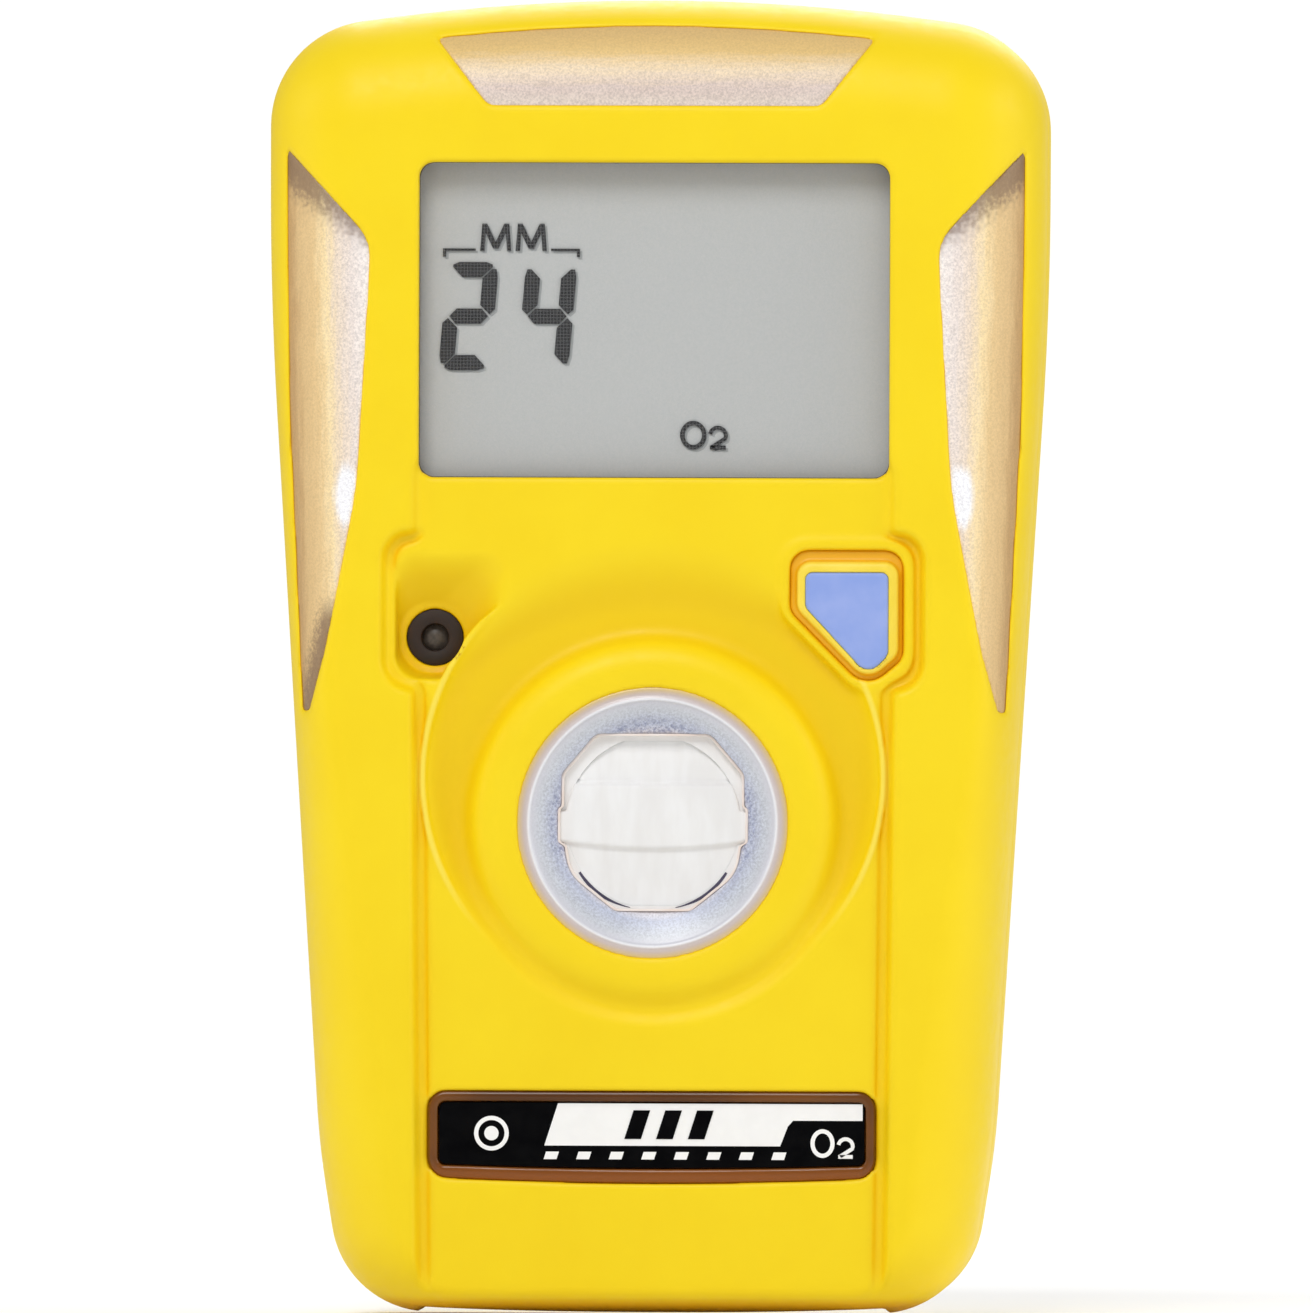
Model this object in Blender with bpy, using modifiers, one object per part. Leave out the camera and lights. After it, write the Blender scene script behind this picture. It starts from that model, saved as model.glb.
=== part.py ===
"""A clip-on portable gas detector, modelled as the separate pieces it is assembled from.

Metres, +Z up. The front faces -Y and the clip is at the back. The origin is at the bottom centre of the
whole object. Most places are given as (x, z) and a depth, which is measured back from the front face.
"""

import math

import bmesh
import bpy
from mathutils import Vector

MM = 0.001
GAP = 0.3 * MM  # between neighbouring pieces
FINE = 0.06 * MM  # how far a faceted arc may stand off the true one
COARSE = 0.25 * MM  # the same, where it is out of sight

# Overall sizes
HEIGHT = 87  # mm, like the rest of the outlines' coordinates
TOTAL_DEPTH = 41 * MM  # front face to the clip's finger pad
BODY_DEPTH = 26.5 * MM
FRONT_Y = -TOTAL_DEPTH / 2

# Housing
WALL = 2.1 * MM
SHOULDER_WIDTH = 6.6 * MM
SHOULDER_DEPTH = 7 * MM
BACK_EDGE = 4 * MM
FRONT_RIM = 14.0 * MM
REAR_RIM = 15.2 * MM
PANEL_DEPTH = 0.7 * MM
SCREW_PLACES = ((-20.6, 80.9), (20.6, 80.9), (-16.3, 5.4), (16.3, 5.4))  # mm
SCREW_HOLE = 1.4 * MM

# Sensor port
SENSOR = (0, 32.5 * MM)
PORT_RADIUS = 8.9 * MM
BOSS = 12.35  # radii in mm, as turned profiles are
DISH = 15.25

# Buzzer port
BUZZER = (-14.52 * MM, 44.72 * MM)
BUZZER_HOLE = 1.87 * MM

# Button
BUTTON = (12.9 * MM, 46.6 * MM)
BUTTON_TRAVEL = 0.5 * MM

# Display
DISPLAY_X = 15.55 * MM
DISPLAY_Z = (55.38 * MM, 76.13 * MM)

# Circuit board
BOARD_FRONT = 11.5 * MM
BOARD_BACK = 12.5 * MM

# Clip
CLIP_PLATE = (26.8 * MM, 27.8 * MM)  # depths of its two faces
PIN = (33.5 * MM, 50 * MM)  # depth and height of the hinge axis
PIN_RADIUS = 1.1 * MM
PIN_HOLE = PIN_RADIUS + GAP
CLIP_STEEL = 1.0 * MM

# Vibration motor
MOTOR = (11 * MM, 18.4 * MM)  # x and depth of its shaft

COLOURS = {  # linear colour, roughness, metallic
    "yellow_shell": ((0.91, 0.69, 0.02), 0.4, 0),
    "frosted_window": ((0.79, 0.64, 0.46), 0.5, 0),
    "clear_window": ((0.85, 0.87, 0.86), 0.1, 0),
    "display_cell": ((0.49, 0.5, 0.49), 0.35, 0),
    "light_guide": ((0.85, 0.86, 0.84), 0.4, 0),
    "black_plastic": ((0.02, 0.02, 0.02), 0.5, 0),
    "rubber": ((0.03, 0.03, 0.03), 0.8, 0),
    "board": ((0.02, 0.18, 0.06), 0.5, 0),
    "lamp": ((0.8, 0.8, 0.75), 0.3, 0),
    "bare_steel": ((0.6, 0.6, 0.6), 0.3, 1),
    "cell_jacket": ((0.12, 0.3, 0.5), 0.4, 0),
    "sensor_case": ((0.75, 0.75, 0.73), 0.5, 0),
    "membrane": ((0.86, 0.86, 0.86), 0.9, 0),
    "clear_ring": ((0.62, 0.63, 0.75), 0.2, 0),
    "blue_face": ((0.38, 0.5, 0.82), 0.5, 0),
    "infrared_plastic": ((0.12, 0.04, 0.01), 0.2, 0),
    "label_film": ((0.03, 0.03, 0.03), 0.3, 0),
    "blank_label": ((0.8, 0.8, 0.8), 0.6, 0),
}


def at(depth):
    """The Y of a depth measured back from the front face."""
    return FRONT_Y + depth


def mm(*values):
    return tuple(value * MM for value in values)


# ---------------------------------------------------------------- scene and materials


def clear_scene():
    for old in list(bpy.data.objects):
        bpy.data.objects.remove(old, do_unlink=True)


def new_collection(name):
    collection = bpy.data.collections.new(name)
    bpy.context.scene.collection.children.link(collection)
    return collection


def material(slot):
    found = bpy.data.materials.get(slot)
    if found:
        return found
    colour, roughness, metallic = COLOURS[slot]
    made = bpy.data.materials.new(slot)
    made.use_nodes = True
    shader = made.node_tree.nodes["Principled BSDF"]
    shader.inputs["Base Color"].default_value = (*colour, 1)
    shader.inputs["Roughness"].default_value = roughness
    shader.inputs["Metallic"].default_value = metallic
    return made


def smooth(mesh, angle=30):
    mesh.shade_smooth()
    mesh.set_sharp_from_angle(angle=math.radians(angle))


def new_object(name, mesh, slot=None):
    """An object among the parts if it has a material slot, or else a hidden helper."""
    made = bpy.data.objects.new(name, mesh)
    if slot:
        mesh.materials.append(material(slot))
        PARTS.objects.link(made)
    else:
        HELPERS.objects.link(made)
        made.hide_render = True
        made.display_type = "WIRE"
    return made


def from_bmesh(name, shape, slot=None):
    mesh = bpy.data.meshes.new(name)
    shape.to_mesh(mesh)
    shape.free()
    smooth(mesh)
    return new_object(name, mesh, slot)


def from_curve(name, curve, rotation=(0, 0, 0), location=(0, 0, 0), slot=None):
    """The closed mesh of a curve object, with its caps welded on."""
    holder = bpy.data.objects.new(name + "_curve", curve)
    HELPERS.objects.link(holder)
    holder.rotation_euler = rotation
    holder.location = location
    bpy.context.view_layer.update()
    graph = bpy.context.evaluated_depsgraph_get()
    mesh = bpy.data.meshes.new_from_object(holder.evaluated_get(graph))
    mesh.materials.clear()
    shape = bmesh.new()
    shape.from_mesh(mesh)
    bmesh.ops.remove_doubles(shape, verts=shape.verts, dist=1e-6)
    shape.to_mesh(mesh)
    shape.free()
    smooth(mesh)
    made = new_object(name, mesh, slot)
    made.matrix_world = holder.matrix_world
    bpy.data.objects.remove(holder, do_unlink=True)
    return made


# ---------------------------------------------------------------- outlines


def rounded(corners, inset=0, tolerance=FINE, smallest=0.2 * MM):
    """The points of a closed outline whose corners, given as (x, z, radius), are turned by arcs.

    A convex outline can be drawn in by inset all round, which leaves the number of its points the same.
    """
    points = []
    for index, (x, z, radius) in enumerate(corners):
        here = Vector((x, z))
        back = (Vector(corners[index - 1][:2]) - here).normalized()
        ahead = (Vector(corners[(index + 1) % len(corners)][:2]) - here).normalized()
        half_angle = back.angle(ahead) / 2
        bisector = (back + ahead).normalized()
        here += bisector * inset / math.sin(half_angle)
        if not radius:
            points.append((here.x, here.y))
            continue
        turn = math.pi - 2 * half_angle
        steps = 2 * math.ceil(turn / (4 * math.acos(1 - min(tolerance / radius, 0.3))))
        radius = max(radius - inset, smallest)
        centre = here + bisector * radius / math.sin(half_angle)
        start = here + back * radius / math.tan(half_angle) - centre
        end = here + ahead * radius / math.tan(half_angle) - centre
        if start.x * end.y < start.y * end.x:
            turn = -turn
        for step in range(steps + 1):
            angle = turn * step / steps
            cos, sin = math.cos(angle), math.sin(angle)
            x = centre.x + start.x * cos - start.y * sin
            z = centre.y + start.x * sin + start.y * cos
            points.append((x, z))
    return points


def mirrored(half):
    """Corners of a symmetric outline from its right half, which runs up from the bottom."""
    left = [(-x, z, radius) for x, z, radius in reversed(half) if abs(x) > 1e-9]
    return list(half) + left


def corners_mm(*corners):
    return [mm(*corner) for corner in corners]


def rectangle(x0, x1, z0, z1, radius=0):
    return rounded([(x0, z0, radius), (x1, z0, radius), (x1, z1, radius), (x0, z1, radius)])


# The last corner is where the tangents to the gently arched top edge meet, above its crown.
BODY = mirrored(corners_mm(
    (20.5, 0, 6.6), (22.25, 11, 60), (25.68, 67, 250), (25.72, HEIGHT - 2.27, 7), (0, HEIGHT + 1.25, 134)
))
TOP_WINDOW = mirrored(corners_mm((11.0, 79.94, 1.2), (14.5, 84.2, 0.6), (0, 85.75, 125)))
SIDE_WINDOW = corners_mm(
    (23.15, 39.4, 0.2), (24.2, 60, 60), (24.35, 76.9, 0.4), (18.6, 70.9, 1.4), (19.7, 54.5, 30),
    (22.0, 43.5, 8)
)
PANEL = mirrored(corners_mm(
    (15.4, -1, 0), (15.9, 40.6, 1.2), (17.85, 43.2, 1.2), (17.85, 49.8, 1.2), (15.9, 51.7, 1.2),
    (15.9, 56.4, 0.8)
))
BUTTON_HOLE = corners_mm(
    (13.9, 41.0, 1.8), (16.49, 43.2, 1.2), (16.49, 50.5, 1.2), (8.72, 50.5, 1.2), (8.72, 46.2, 1.2)
)
BUTTON_PAD = corners_mm(
    (13.9, 41.7, 1.5), (15.95, 43.5, 1.0), (15.95, 49.76, 0.9), (9.35, 49.76, 0.9), (9.35, 46.4, 1.0)
)
BUTTON_FACE = corners_mm(
    (13.9, 42.2, 1.0), (15.35, 43.6, 0.8), (15.35, 48.99, 0.4), (9.82, 48.99, 0.4), (9.82, 46.5, 0.6)
)
LABEL_FRAME = mirrored(corners_mm((0, 8.55, 90), (14.8, 9.1, 1.0), (14.8, 14.76, 1.0)))
LABEL = mirrored(corners_mm((0, 9.5, 90), (14.15, 9.85, 0.5), (14.15, 14.06, 0.5)))
BOARD = mirrored(corners_mm(
    (12.4, 5, 0), (12.4, 9, 0), (19.2, 9.3, 0), (22.4, 62, 0), (22.4, 76.7, 0), (15.8, 76.4, 0),
    (15.8, 83.3, 0)
))


# ---------------------------------------------------------------- shapes


def box(name, low, high, slot=None, bevel=0):
    """A box between two corners, each given as (x, depth, z) in millimetres."""
    shape = bmesh.new()
    bmesh.ops.create_cube(shape, size=1)
    for vertex in shape.verts:
        along = [low[axis] + (high[axis] - low[axis]) * (vertex.co[axis] + 0.5) for axis in range(3)]
        vertex.co = (along[0] * MM, at(along[1] * MM), along[2] * MM)
    made = from_bmesh(name, shape, slot)
    if bevel:
        edge = made.modifiers.new("edges", "BEVEL")
        edge.width = bevel
        edge.segments = 2
    return made


def cylinder(name, start, end, radius, slot=None, sides=24, end_radius=None):
    """A cylinder or cone between two points, each given as (x, depth, z) in metres."""
    start = Vector((start[0], at(start[1]), start[2]))
    end = Vector((end[0], at(end[1]), end[2]))
    shape = bmesh.new()
    bmesh.ops.create_cone(
        shape, cap_ends=True, segments=sides, radius1=radius,
        radius2=radius if end_radius is None else end_radius, depth=(end - start).length,
    )
    made = from_bmesh(name, shape, slot)
    made.location = (start + end) / 2
    made.rotation_euler = (end - start).to_track_quat("Z", "Y").to_euler()
    return made


def drilled(name, centre, near, far, radius, slot=None, sides=24):
    """A cylinder along the depth, at (x, z)."""
    return cylinder(name, (centre[0], near, centre[1]), (centre[0], far, centre[1]), radius, slot, sides)


def prism(name, outline, near, far, slot=None):
    """An (x, z) outline extruded between two depths."""
    curve = flat_curve(name, outline, far - near)
    return from_curve(name, curve, (math.pi / 2, 0, 0), (0, at((near + far) / 2), 0), slot)


def side_prism(name, outline, left, right, slot=None):
    """A (depth, z) outline extruded between two X values."""
    curve = flat_curve(name, [(at(depth), z) for depth, z in outline], right - left)
    return from_curve(name, curve, (math.pi / 2, 0, math.pi / 2), ((left + right) / 2, 0, 0), slot)


def flat_curve(name, outline, thickness):
    curve = bpy.data.curves.new(name, "CURVE")
    curve.dimensions = "2D"
    curve.fill_mode = "BOTH"
    curve.extrude = thickness / 2
    spline = curve.splines.new("POLY")
    spline.points.add(len(outline) - 1)
    for point, (x, y) in zip(spline.points, outline):
        point.co = (x, y, 0, 1)
    spline.use_cyclic_u = True
    return curve


def loft(name, sections, slot=None):
    """A closed solid through (depth, outline) sections whose outlines have the same number of points."""
    shape = bmesh.new()
    rings = [[shape.verts.new((x, at(depth), z)) for x, z in outline] for depth, outline in sections]
    for near, far in zip(rings, rings[1:]):
        for index in range(len(near)):
            shape.faces.new((near[index - 1], near[index], far[index], far[index - 1]))
    shape.faces.new(rings[0])
    shape.faces.new(rings[-1])
    bmesh.ops.recalc_face_normals(shape, faces=shape.faces)
    return from_bmesh(name, shape, slot)


def turned(name, centre, profile, slot=None, steps=32, phase=0):
    """A solid turned about the depth through (x, z). Its profile, of (radius, depth) points in
    millimetres, starts at the front and runs down the outer side. One that ends off the axis is a ring.
    A phase, in radians, keeps the facets of joined pieces from lining up."""
    across, up = math.cos(phase) * MM, math.sin(phase) * MM
    points = [(radius * across, radius * up, -at(depth * MM)) for radius, depth in profile]
    edges = [(index, index + 1) for index in range(len(points) - 1)]
    if profile[-1][0] > 0:
        edges.append((len(points) - 1, 0))
    mesh = bpy.data.meshes.new(name)
    mesh.from_pydata(points, edges, [])
    made = new_object(name, mesh, slot)
    made.location = (centre[0], 0, centre[1])
    made.rotation_euler = (math.pi / 2, 0, 0)
    screw = made.modifiers.new("turn", "SCREW")
    screw.steps = steps
    screw.render_steps = steps
    screw.use_merge_vertices = True
    screw.merge_threshold = 1e-6
    screw.use_smooth_shade = True
    return made


def combine(target, helper, operation):
    boolean = target.modifiers.new(operation.lower() + "_" + helper.name, "BOOLEAN")
    boolean.operation = operation
    boolean.solver = "EXACT"
    boolean.object = helper


def cut(target, *helpers):
    for helper in helpers:
        combine(target, helper, "DIFFERENCE")


def join(target, *helpers):
    for helper in helpers:
        combine(target, helper, "UNION")


def keep_inside(target, helper):
    combine(target, helper, "INTERSECT")


def on_axis(name, x, depth, z, pieces):
    """Hangs the pieces of one moving body on an empty that stands on its joint's axis."""
    axis = bpy.data.objects.new(name, None)
    axis.empty_display_size = 0.005
    axis.location = (x, at(depth), z)
    PARTS.objects.link(axis)
    bpy.context.view_layer.update()
    for piece in pieces:
        piece.parent = axis
        piece.matrix_parent_inverse = axis.matrix_world.inverted()


# ---------------------------------------------------------------- housing


def shoulder(wall, steps):
    """(depth, inset) along the quarter ellipse that rounds the front edge, drawn in by a wall."""
    for step in range(steps + 1):
        angle = math.pi / 2 * step / steps
        depth = SHOULDER_DEPTH - (SHOULDER_DEPTH - wall) * math.cos(angle)
        yield depth, SHOULDER_WIDTH - (SHOULDER_WIDTH - wall) * math.sin(angle)


def envelope(name, wall, rim, steps=4, tolerance=FINE, slot=None):
    """The front half of the body's outer form, drawn in by a wall, from its face back to a rim."""
    sections = [(depth, rounded(BODY, inset, tolerance)) for depth, inset in shoulder(wall, steps)]
    sections.append((rim, rounded(BODY, wall, tolerance)))
    return loft(name, sections, slot)


def mirrored_x(outline):
    return [(-x, z) for x, z in reversed(outline)]


def front_shell():
    shell = envelope("front_shell", 0, FRONT_RIM, steps=5, slot="yellow_shell")
    cut(shell, envelope("front_cavity", WALL, FRONT_RIM + 1 * MM, steps=3, tolerance=COARSE))
    well = [(0, 1.2), (16.2, 1.2), (16.2, 3.8), (10.9, 3.8), (10.9, 6.5), (0, 6.5)]
    join(shell, turned("sensor_well", SENSOR, well, phase=0.03))
    join(shell, box("buzzer_backing", (-18.4, 1.4, 41.2), (-9.5, 4.2, 51.5)))
    cut(shell, prism("panel_recess", rounded(PANEL), -1 * MM, PANEL_DEPTH))
    dish = [(0, -1), (DISH, -1), (DISH, 0.9), (DISH - 0.65, 1.6), (DISH - 1.65, 1.9), (0, 1.9)]
    cut(shell, turned("sensor_dish", SENSOR, dish))
    boss = [(0, 0.1), (BOSS - 1.05, 0.1), (BOSS - 0.35, 0.5), (BOSS, 1.2), (BOSS, 2.6), (0, 2.6)]
    join(shell, turned("sensor_boss", SENSOR, boss, steps=36, phase=0.05))
    for index, (x, z) in enumerate(SCREW_PLACES):
        post_end = FRONT_RIM - 0.2 * MM
        join(shell, drilled(f"front_post_{index + 1}", mm(x, z), 3.7 * MM, post_end, 2.8 * MM, sides=16))
        cut(shell, drilled(f"pilot_hole_{index + 1}", mm(x, z), 7.5 * MM, 15 * MM, SCREW_HOLE, sides=12))
    cut(shell, drilled("sensor_bore", SENSOR, -1 * MM, 8 * MM, PORT_RADIUS, sides=40))
    opening = rectangle(-DISPLAY_X, DISPLAY_X, *DISPLAY_Z, radius=1.3 * MM)
    cut(shell, prism("display_opening", opening, -1 * MM, 4 * MM))
    cut(shell, box("window_pocket", (-17.4, 0.9, 53.6), (17.4, 4, 77.9)))
    cut(shell, prism("top_window_hole", rounded(TOP_WINDOW), -1 * MM, 9.8 * MM))
    for side, turn in (("left", mirrored_x), ("right", list)):
        cut(shell, prism(f"{side}_window_hole", turn(rounded(SIDE_WINDOW)), -1 * MM, 9.8 * MM))
    cut(shell, loft("buzzer_funnel", [
        (0.6 * MM, rectangle(*mm(-17.0, -9.9, 41.6, 50.3), 1.6 * MM)),
        (2.3 * MM, rectangle(*mm(-16.6, -12.2, 42.6, 47.0), 1.6 * MM)),
    ]))
    cut(shell, drilled("buzzer_hole", BUZZER, 0, 8 * MM, BUZZER_HOLE, sides=24))
    cut(shell, prism("button_hole", rounded(BUTTON_HOLE), -1 * MM, 5 * MM))
    cut(shell, prism("label_hole", rounded(LABEL_FRAME), -1 * MM, 5 * MM))
    return shell


def rear_shell():
    def back_edge(wall, steps):
        for step in range(steps + 1):
            angle = math.pi / 2 * step / steps
            inset = BACK_EDGE - (BACK_EDGE - wall) * math.cos(angle)
            yield BODY_DEPTH - BACK_EDGE + (BACK_EDGE - wall) * math.sin(angle), inset

    def rear_form(name, wall, rim, steps, tolerance, slot=None):
        sections = [(rim, rounded(BODY, wall, tolerance))]
        sections += [(depth, rounded(BODY, inset, tolerance)) for depth, inset in back_edge(wall, steps)]
        return loft(name, sections, slot)

    shell = rear_form("rear_shell", 0, REAR_RIM, 4, FINE, "yellow_shell")
    cut(shell, rear_form("rear_cavity", WALL, REAR_RIM - 1 * MM, 2, COARSE))
    for index, (x, z) in enumerate(SCREW_PLACES):
        place = mm(x, z)
        near, far = REAR_RIM + 0.2 * MM, BODY_DEPTH - 1.8 * MM
        join(shell, drilled(f"rear_post_{index + 1}", place, near, far, 3 * MM, sides=16))
        cut(shell, drilled(f"clearance_hole_{index + 1}", place, 14 * MM, 28 * MM, SCREW_HOLE, sides=12))
        cut(shell, drilled(f"head_recess_{index + 1}", place, 22 * MM, 28 * MM, 2.5 * MM, sides=20))
    for index, z in enumerate(CLIP_SCREW_HEIGHTS):
        place = (0, z)
        post = drilled(f"clip_post_{index + 1}", place, 20.4 * MM, BODY_DEPTH - 1 * MM, 2.8 * MM, sides=16)
        join(shell, post)
        cut(shell, drilled(f"clip_screw_hole_{index + 1}", place, 21 * MM, 28 * MM, SCREW_HOLE, sides=12))
    label = rectangle(*mm(-14.3, 14.3, 8.7, 20.3), 1.3 * MM)
    cut(shell, prism("rear_label_recess", label, 25.8 * MM, 28 * MM))
    return shell


def shell_gasket():
    middle = (FRONT_RIM + REAR_RIM) / 2
    near, far = FRONT_RIM + GAP, REAR_RIM - GAP
    gasket = loft("shell_gasket", [(near, rounded(BODY, 0.4 * MM)), (far, rounded(BODY, 0.4 * MM))], "rubber")
    inner = rounded(BODY, 1.9 * MM)
    cut(gasket, loft("gasket_hollow", [(middle - 2 * MM, inner), (middle + 2 * MM, inner)]))


def housing_screws():
    for index, (x, z) in enumerate(SCREW_PLACES):
        machine_screw(f"housing_screw_{index + 1}", mm(x, z), 24.2 * MM, 2.1 * MM, 8 * MM)


def machine_screw(name, place, head_face, head_radius, tip):
    """A pan-head screw driven from the back, with a hexagon socket."""
    head = 1.7 * MM
    shank = 1.1 * MM
    screw = drilled(name, place, tip, head_face - head / 2, shank, "bare_steel", sides=12)
    join(screw, cylinder(
        name + "_head", (place[0], head_face - head, place[1]), (place[0], head_face, place[1]),
        head_radius, sides=20, end_radius=head_radius * 0.86,
    ))
    cut(screw, drilled(name + "_socket", place, head_face - 1 * MM, head_face + 1 * MM, 0.95 * MM, sides=6))


# ---------------------------------------------------------------- windows and display


def alarm_windows():
    outlines = {
        "alarm_window_top": rounded(TOP_WINDOW, GAP),
        "alarm_window_left": mirrored_x(rounded(SIDE_WINDOW, GAP)),
        "alarm_window_right": rounded(SIDE_WINDOW, GAP),
    }
    for name, outline in outlines.items():
        window = prism(name, outline, -1 * MM, 9.5 * MM, "frosted_window")
        keep_inside(window, envelope(name + "_form", 0.5 * MM, 12 * MM, steps=5))


def display():
    box("display_window", (-17.1, 1.2, 53.9), (17.1, 2.0, 77.6), "clear_window")
    box("display_cell", (-16.6, 2.3, 54.2), (16.6, 4.1, 77.4), "display_cell")
    box("display_backlight", (-16.2, 4.4, 56.6), (16.2, 5.4, 75.0), "light_guide")
    holder = box("display_holder", (-18.3, 2.5, 52.6), (18.3, 11.2, 78.9), "black_plastic")
    cut(holder, box("holder_front", (-16.9, 2, 53.9), (16.9, 5.7, 77.7)))
    cut(holder, box("holder_back", (-16.9, 6.7, 53.9), (16.9, 12, 77.7)))
    for name, low, high in (("lower", 54.5, 56.1), ("upper", 75.5, 77.1)):
        cut(holder, box(f"{name}_slot", (-15.8, 5, low - 0.3), (15.8, 8, high + 0.3)))
        box(f"contact_strip_{name}", (-15.5, 4.4, low), (15.5, 11.2, high), "rubber")


# ---------------------------------------------------------------- electronics


def circuit_board():
    board = prism("circuit_board", rounded(BOARD), BOARD_FRONT, BOARD_BACK, "board")
    for index, x in enumerate(mm(-5, 5)):
        hole = (x, SENSOR[1])
        cut(board, drilled(f"sensor_pin_hole_{index + 1}", hole, 11 * MM, 13 * MM, 0.9 * MM, sides=12))
    box("microcontroller", (-5, 9.8, 14.5), (5, 11.2, 20.5), "black_plastic", 0.2 * MM)


def alarm_lamps():
    for index, (x, z) in enumerate(((-20.7, 55.7), (20.7, 55.7), (-6.5, 81.3), (6.5, 81.3))):
        name = f"alarm_lamp_{index + 1}"
        lamp = box(name, (x - 1.1, 10.1, z - 1.1), (x + 1.1, 11.2, z + 1.1), "lamp")
        join(lamp, drilled(name + "_dome", mm(x, z), 9.82 * MM, 10.4 * MM, 0.8 * MM, sides=12))


def infrared_port():
    for name, x in (("infrared_emitter", -4.5), ("infrared_receiver", 4.5)):
        port = box(name, (x - 1.6, 9.6, 10.2), (x + 1.6, 11.2, 13.2), "infrared_plastic")
        dome = [(0, 8.6), (0.7, 8.8), (1.0, 9.3), (1.0, 10), (0, 10)]
        join(port, turned(name + "_dome", mm(x, 11.7), dome, steps=12))
    frame = prism("infrared_window", rounded(LABEL_FRAME, GAP), 0.95 * MM, 2.7 * MM, "infrared_plastic")
    cut(frame, prism("label_recess", rounded(LABEL), 0, 1.65 * MM))
    prism("label_plate", rounded(LABEL, GAP), 1.0 * MM, 1.35 * MM, "label_film")


def button():
    pad = prism("button_pad", rounded(BUTTON_PAD), 0.35 * MM, 3.0 * MM, "yellow_shell")
    join(pad, box("pad_lip", (10, 2.5, 49), (15.4, 3.2, 51.4)))
    join(pad, drilled("pad_stem", BUTTON, 2.8 * MM, 8.0 * MM, 1.5 * MM, sides=16))
    cut(pad, prism("face_seat", rounded(BUTTON_FACE), 0, 0.95 * MM))
    face_outline = rounded(BUTTON_FACE, GAP)
    face = prism("button_face", face_outline, 0.2 * MM, 0.65 * MM, "blue_face")
    on_axis("button_axis", BUTTON[0], 0.35 * MM, BUTTON[1], [pad, face])


def switch():
    x, z = BUTTON
    body = box("switch_body", (9.9, 8.9, 43.6), (15.9, 11.2, 49.6), "black_plastic", 0.25 * MM)
    plunger_end = 10.1 * MM
    bore_end = plunger_end + BUTTON_TRAVEL + 0.2 * MM
    cut(body, drilled("plunger_bore", BUTTON, 8 * MM, bore_end, 1.5 * MM, sides=20))
    plunger = drilled("switch_plunger", BUTTON, 8.3 * MM, plunger_end, 1.2 * MM, "sensor_case", sides=20)
    on_axis("switch_axis", x, 8.3 * MM, z, [plunger])


def gas_sensor():
    profile = [(0, 4.6), (6.2, 4.6), (6.2, 5.0), (8.0, 5.0), (8.4, 5.4), (8.4, 11.2), (0, 11.2)]
    sensor = turned("gas_sensor", SENSOR, profile, "sensor_case", steps=36)
    for index, x in enumerate(mm(-5, 5)):
        pin = drilled(f"sensor_pin_{index + 1}", (x, SENSOR[1]), 10.5 * MM, 12.3 * MM, 0.5 * MM, sides=8)
        join(sensor, pin)
    turned("sensor_gasket", SENSOR, seal_profile(7.3, 3.8, 0.5, 8), "rubber", steps=32)
    drilled("sensor_filter", SENSOR, 2.75 * MM, 3.0 * MM, 7.6 * MM, "membrane", sides=36)
    disc = [(0, 1.5), (5.5, 1.5), (5.7, 1.7), (5.7, 2.45), (0, 2.45)]
    grille = turned("sensor_grille", SENSOR, disc, "membrane")
    for index in range(4):
        z = 29.7 + 1.85 * index
        cut(grille, box(f"grille_slot_{index + 1}", (-3.4, 1, z), (3.4, 3, z + 0.5)))
    cap = [(8.2, 0.6), (8.6, 1.0), (8.6, 4.3), (8.1, 4.3), (8.1, 2.45), (6.1, 2.45), (6.1, 1.2), (7.0, 0.8)]
    turned("sensor_cap", SENSOR, cap, "clear_ring", steps=40)


def seal_profile(radius, depth, wire, sides):
    """A round ring section that starts at the front and runs down its outer side."""
    angles = [2 * math.pi * side / sides for side in range(sides)]
    return [(radius + wire * math.sin(a), depth - wire * math.cos(a)) for a in angles]


def buzzer():
    case = [(0, 9.4), (0.9, 9.4), (0.9, 8.2), (3.9, 8.2), (4.25, 8.6), (4.25, 11.2), (0, 11.2)]
    turned("buzzer", BUZZER, case, "black_plastic", steps=28)
    grommet = [(0.88, 2.7), (1.57, 2.7), (1.57, 4.5), (2.6, 4.5), (2.6, 5.2), (0.88, 5.2)]
    turned("buzzer_grommet", BUZZER, grommet, "rubber", steps=24)
    drilled("buzzer_membrane", BUZZER, 5.5 * MM, 5.7 * MM, 2.6 * MM, "membrane", sides=24)


def battery():
    x, depth = -9 * MM, 18.4 * MM
    bottom, top = mm(28, 71)
    cell = cylinder("lithium_cell", (x, depth, bottom), (x, depth, top), 5.1 * MM, "cell_jacket", sides=28)
    join(cell, cylinder("cell_cap", (x, depth, 70 * MM), (x, depth, 72 * MM), 2.5 * MM, sides=16))
    for name, inner, outer in (("negative", 27.7, 27.3), ("positive", 72.3, 72.7)):
        away = 1 if outer > inner else -1
        outline = [
            (12.8, inner), (20, inner), (20, outer), (13.2, outer), (13.2, outer + 3 * away),
            (12.8, outer + 3 * away)
        ]
        side_prism(f"cell_tab_{name}", [mm(*point) for point in outline], -11.5 * MM, -6.5 * MM, "bare_steel")


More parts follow.
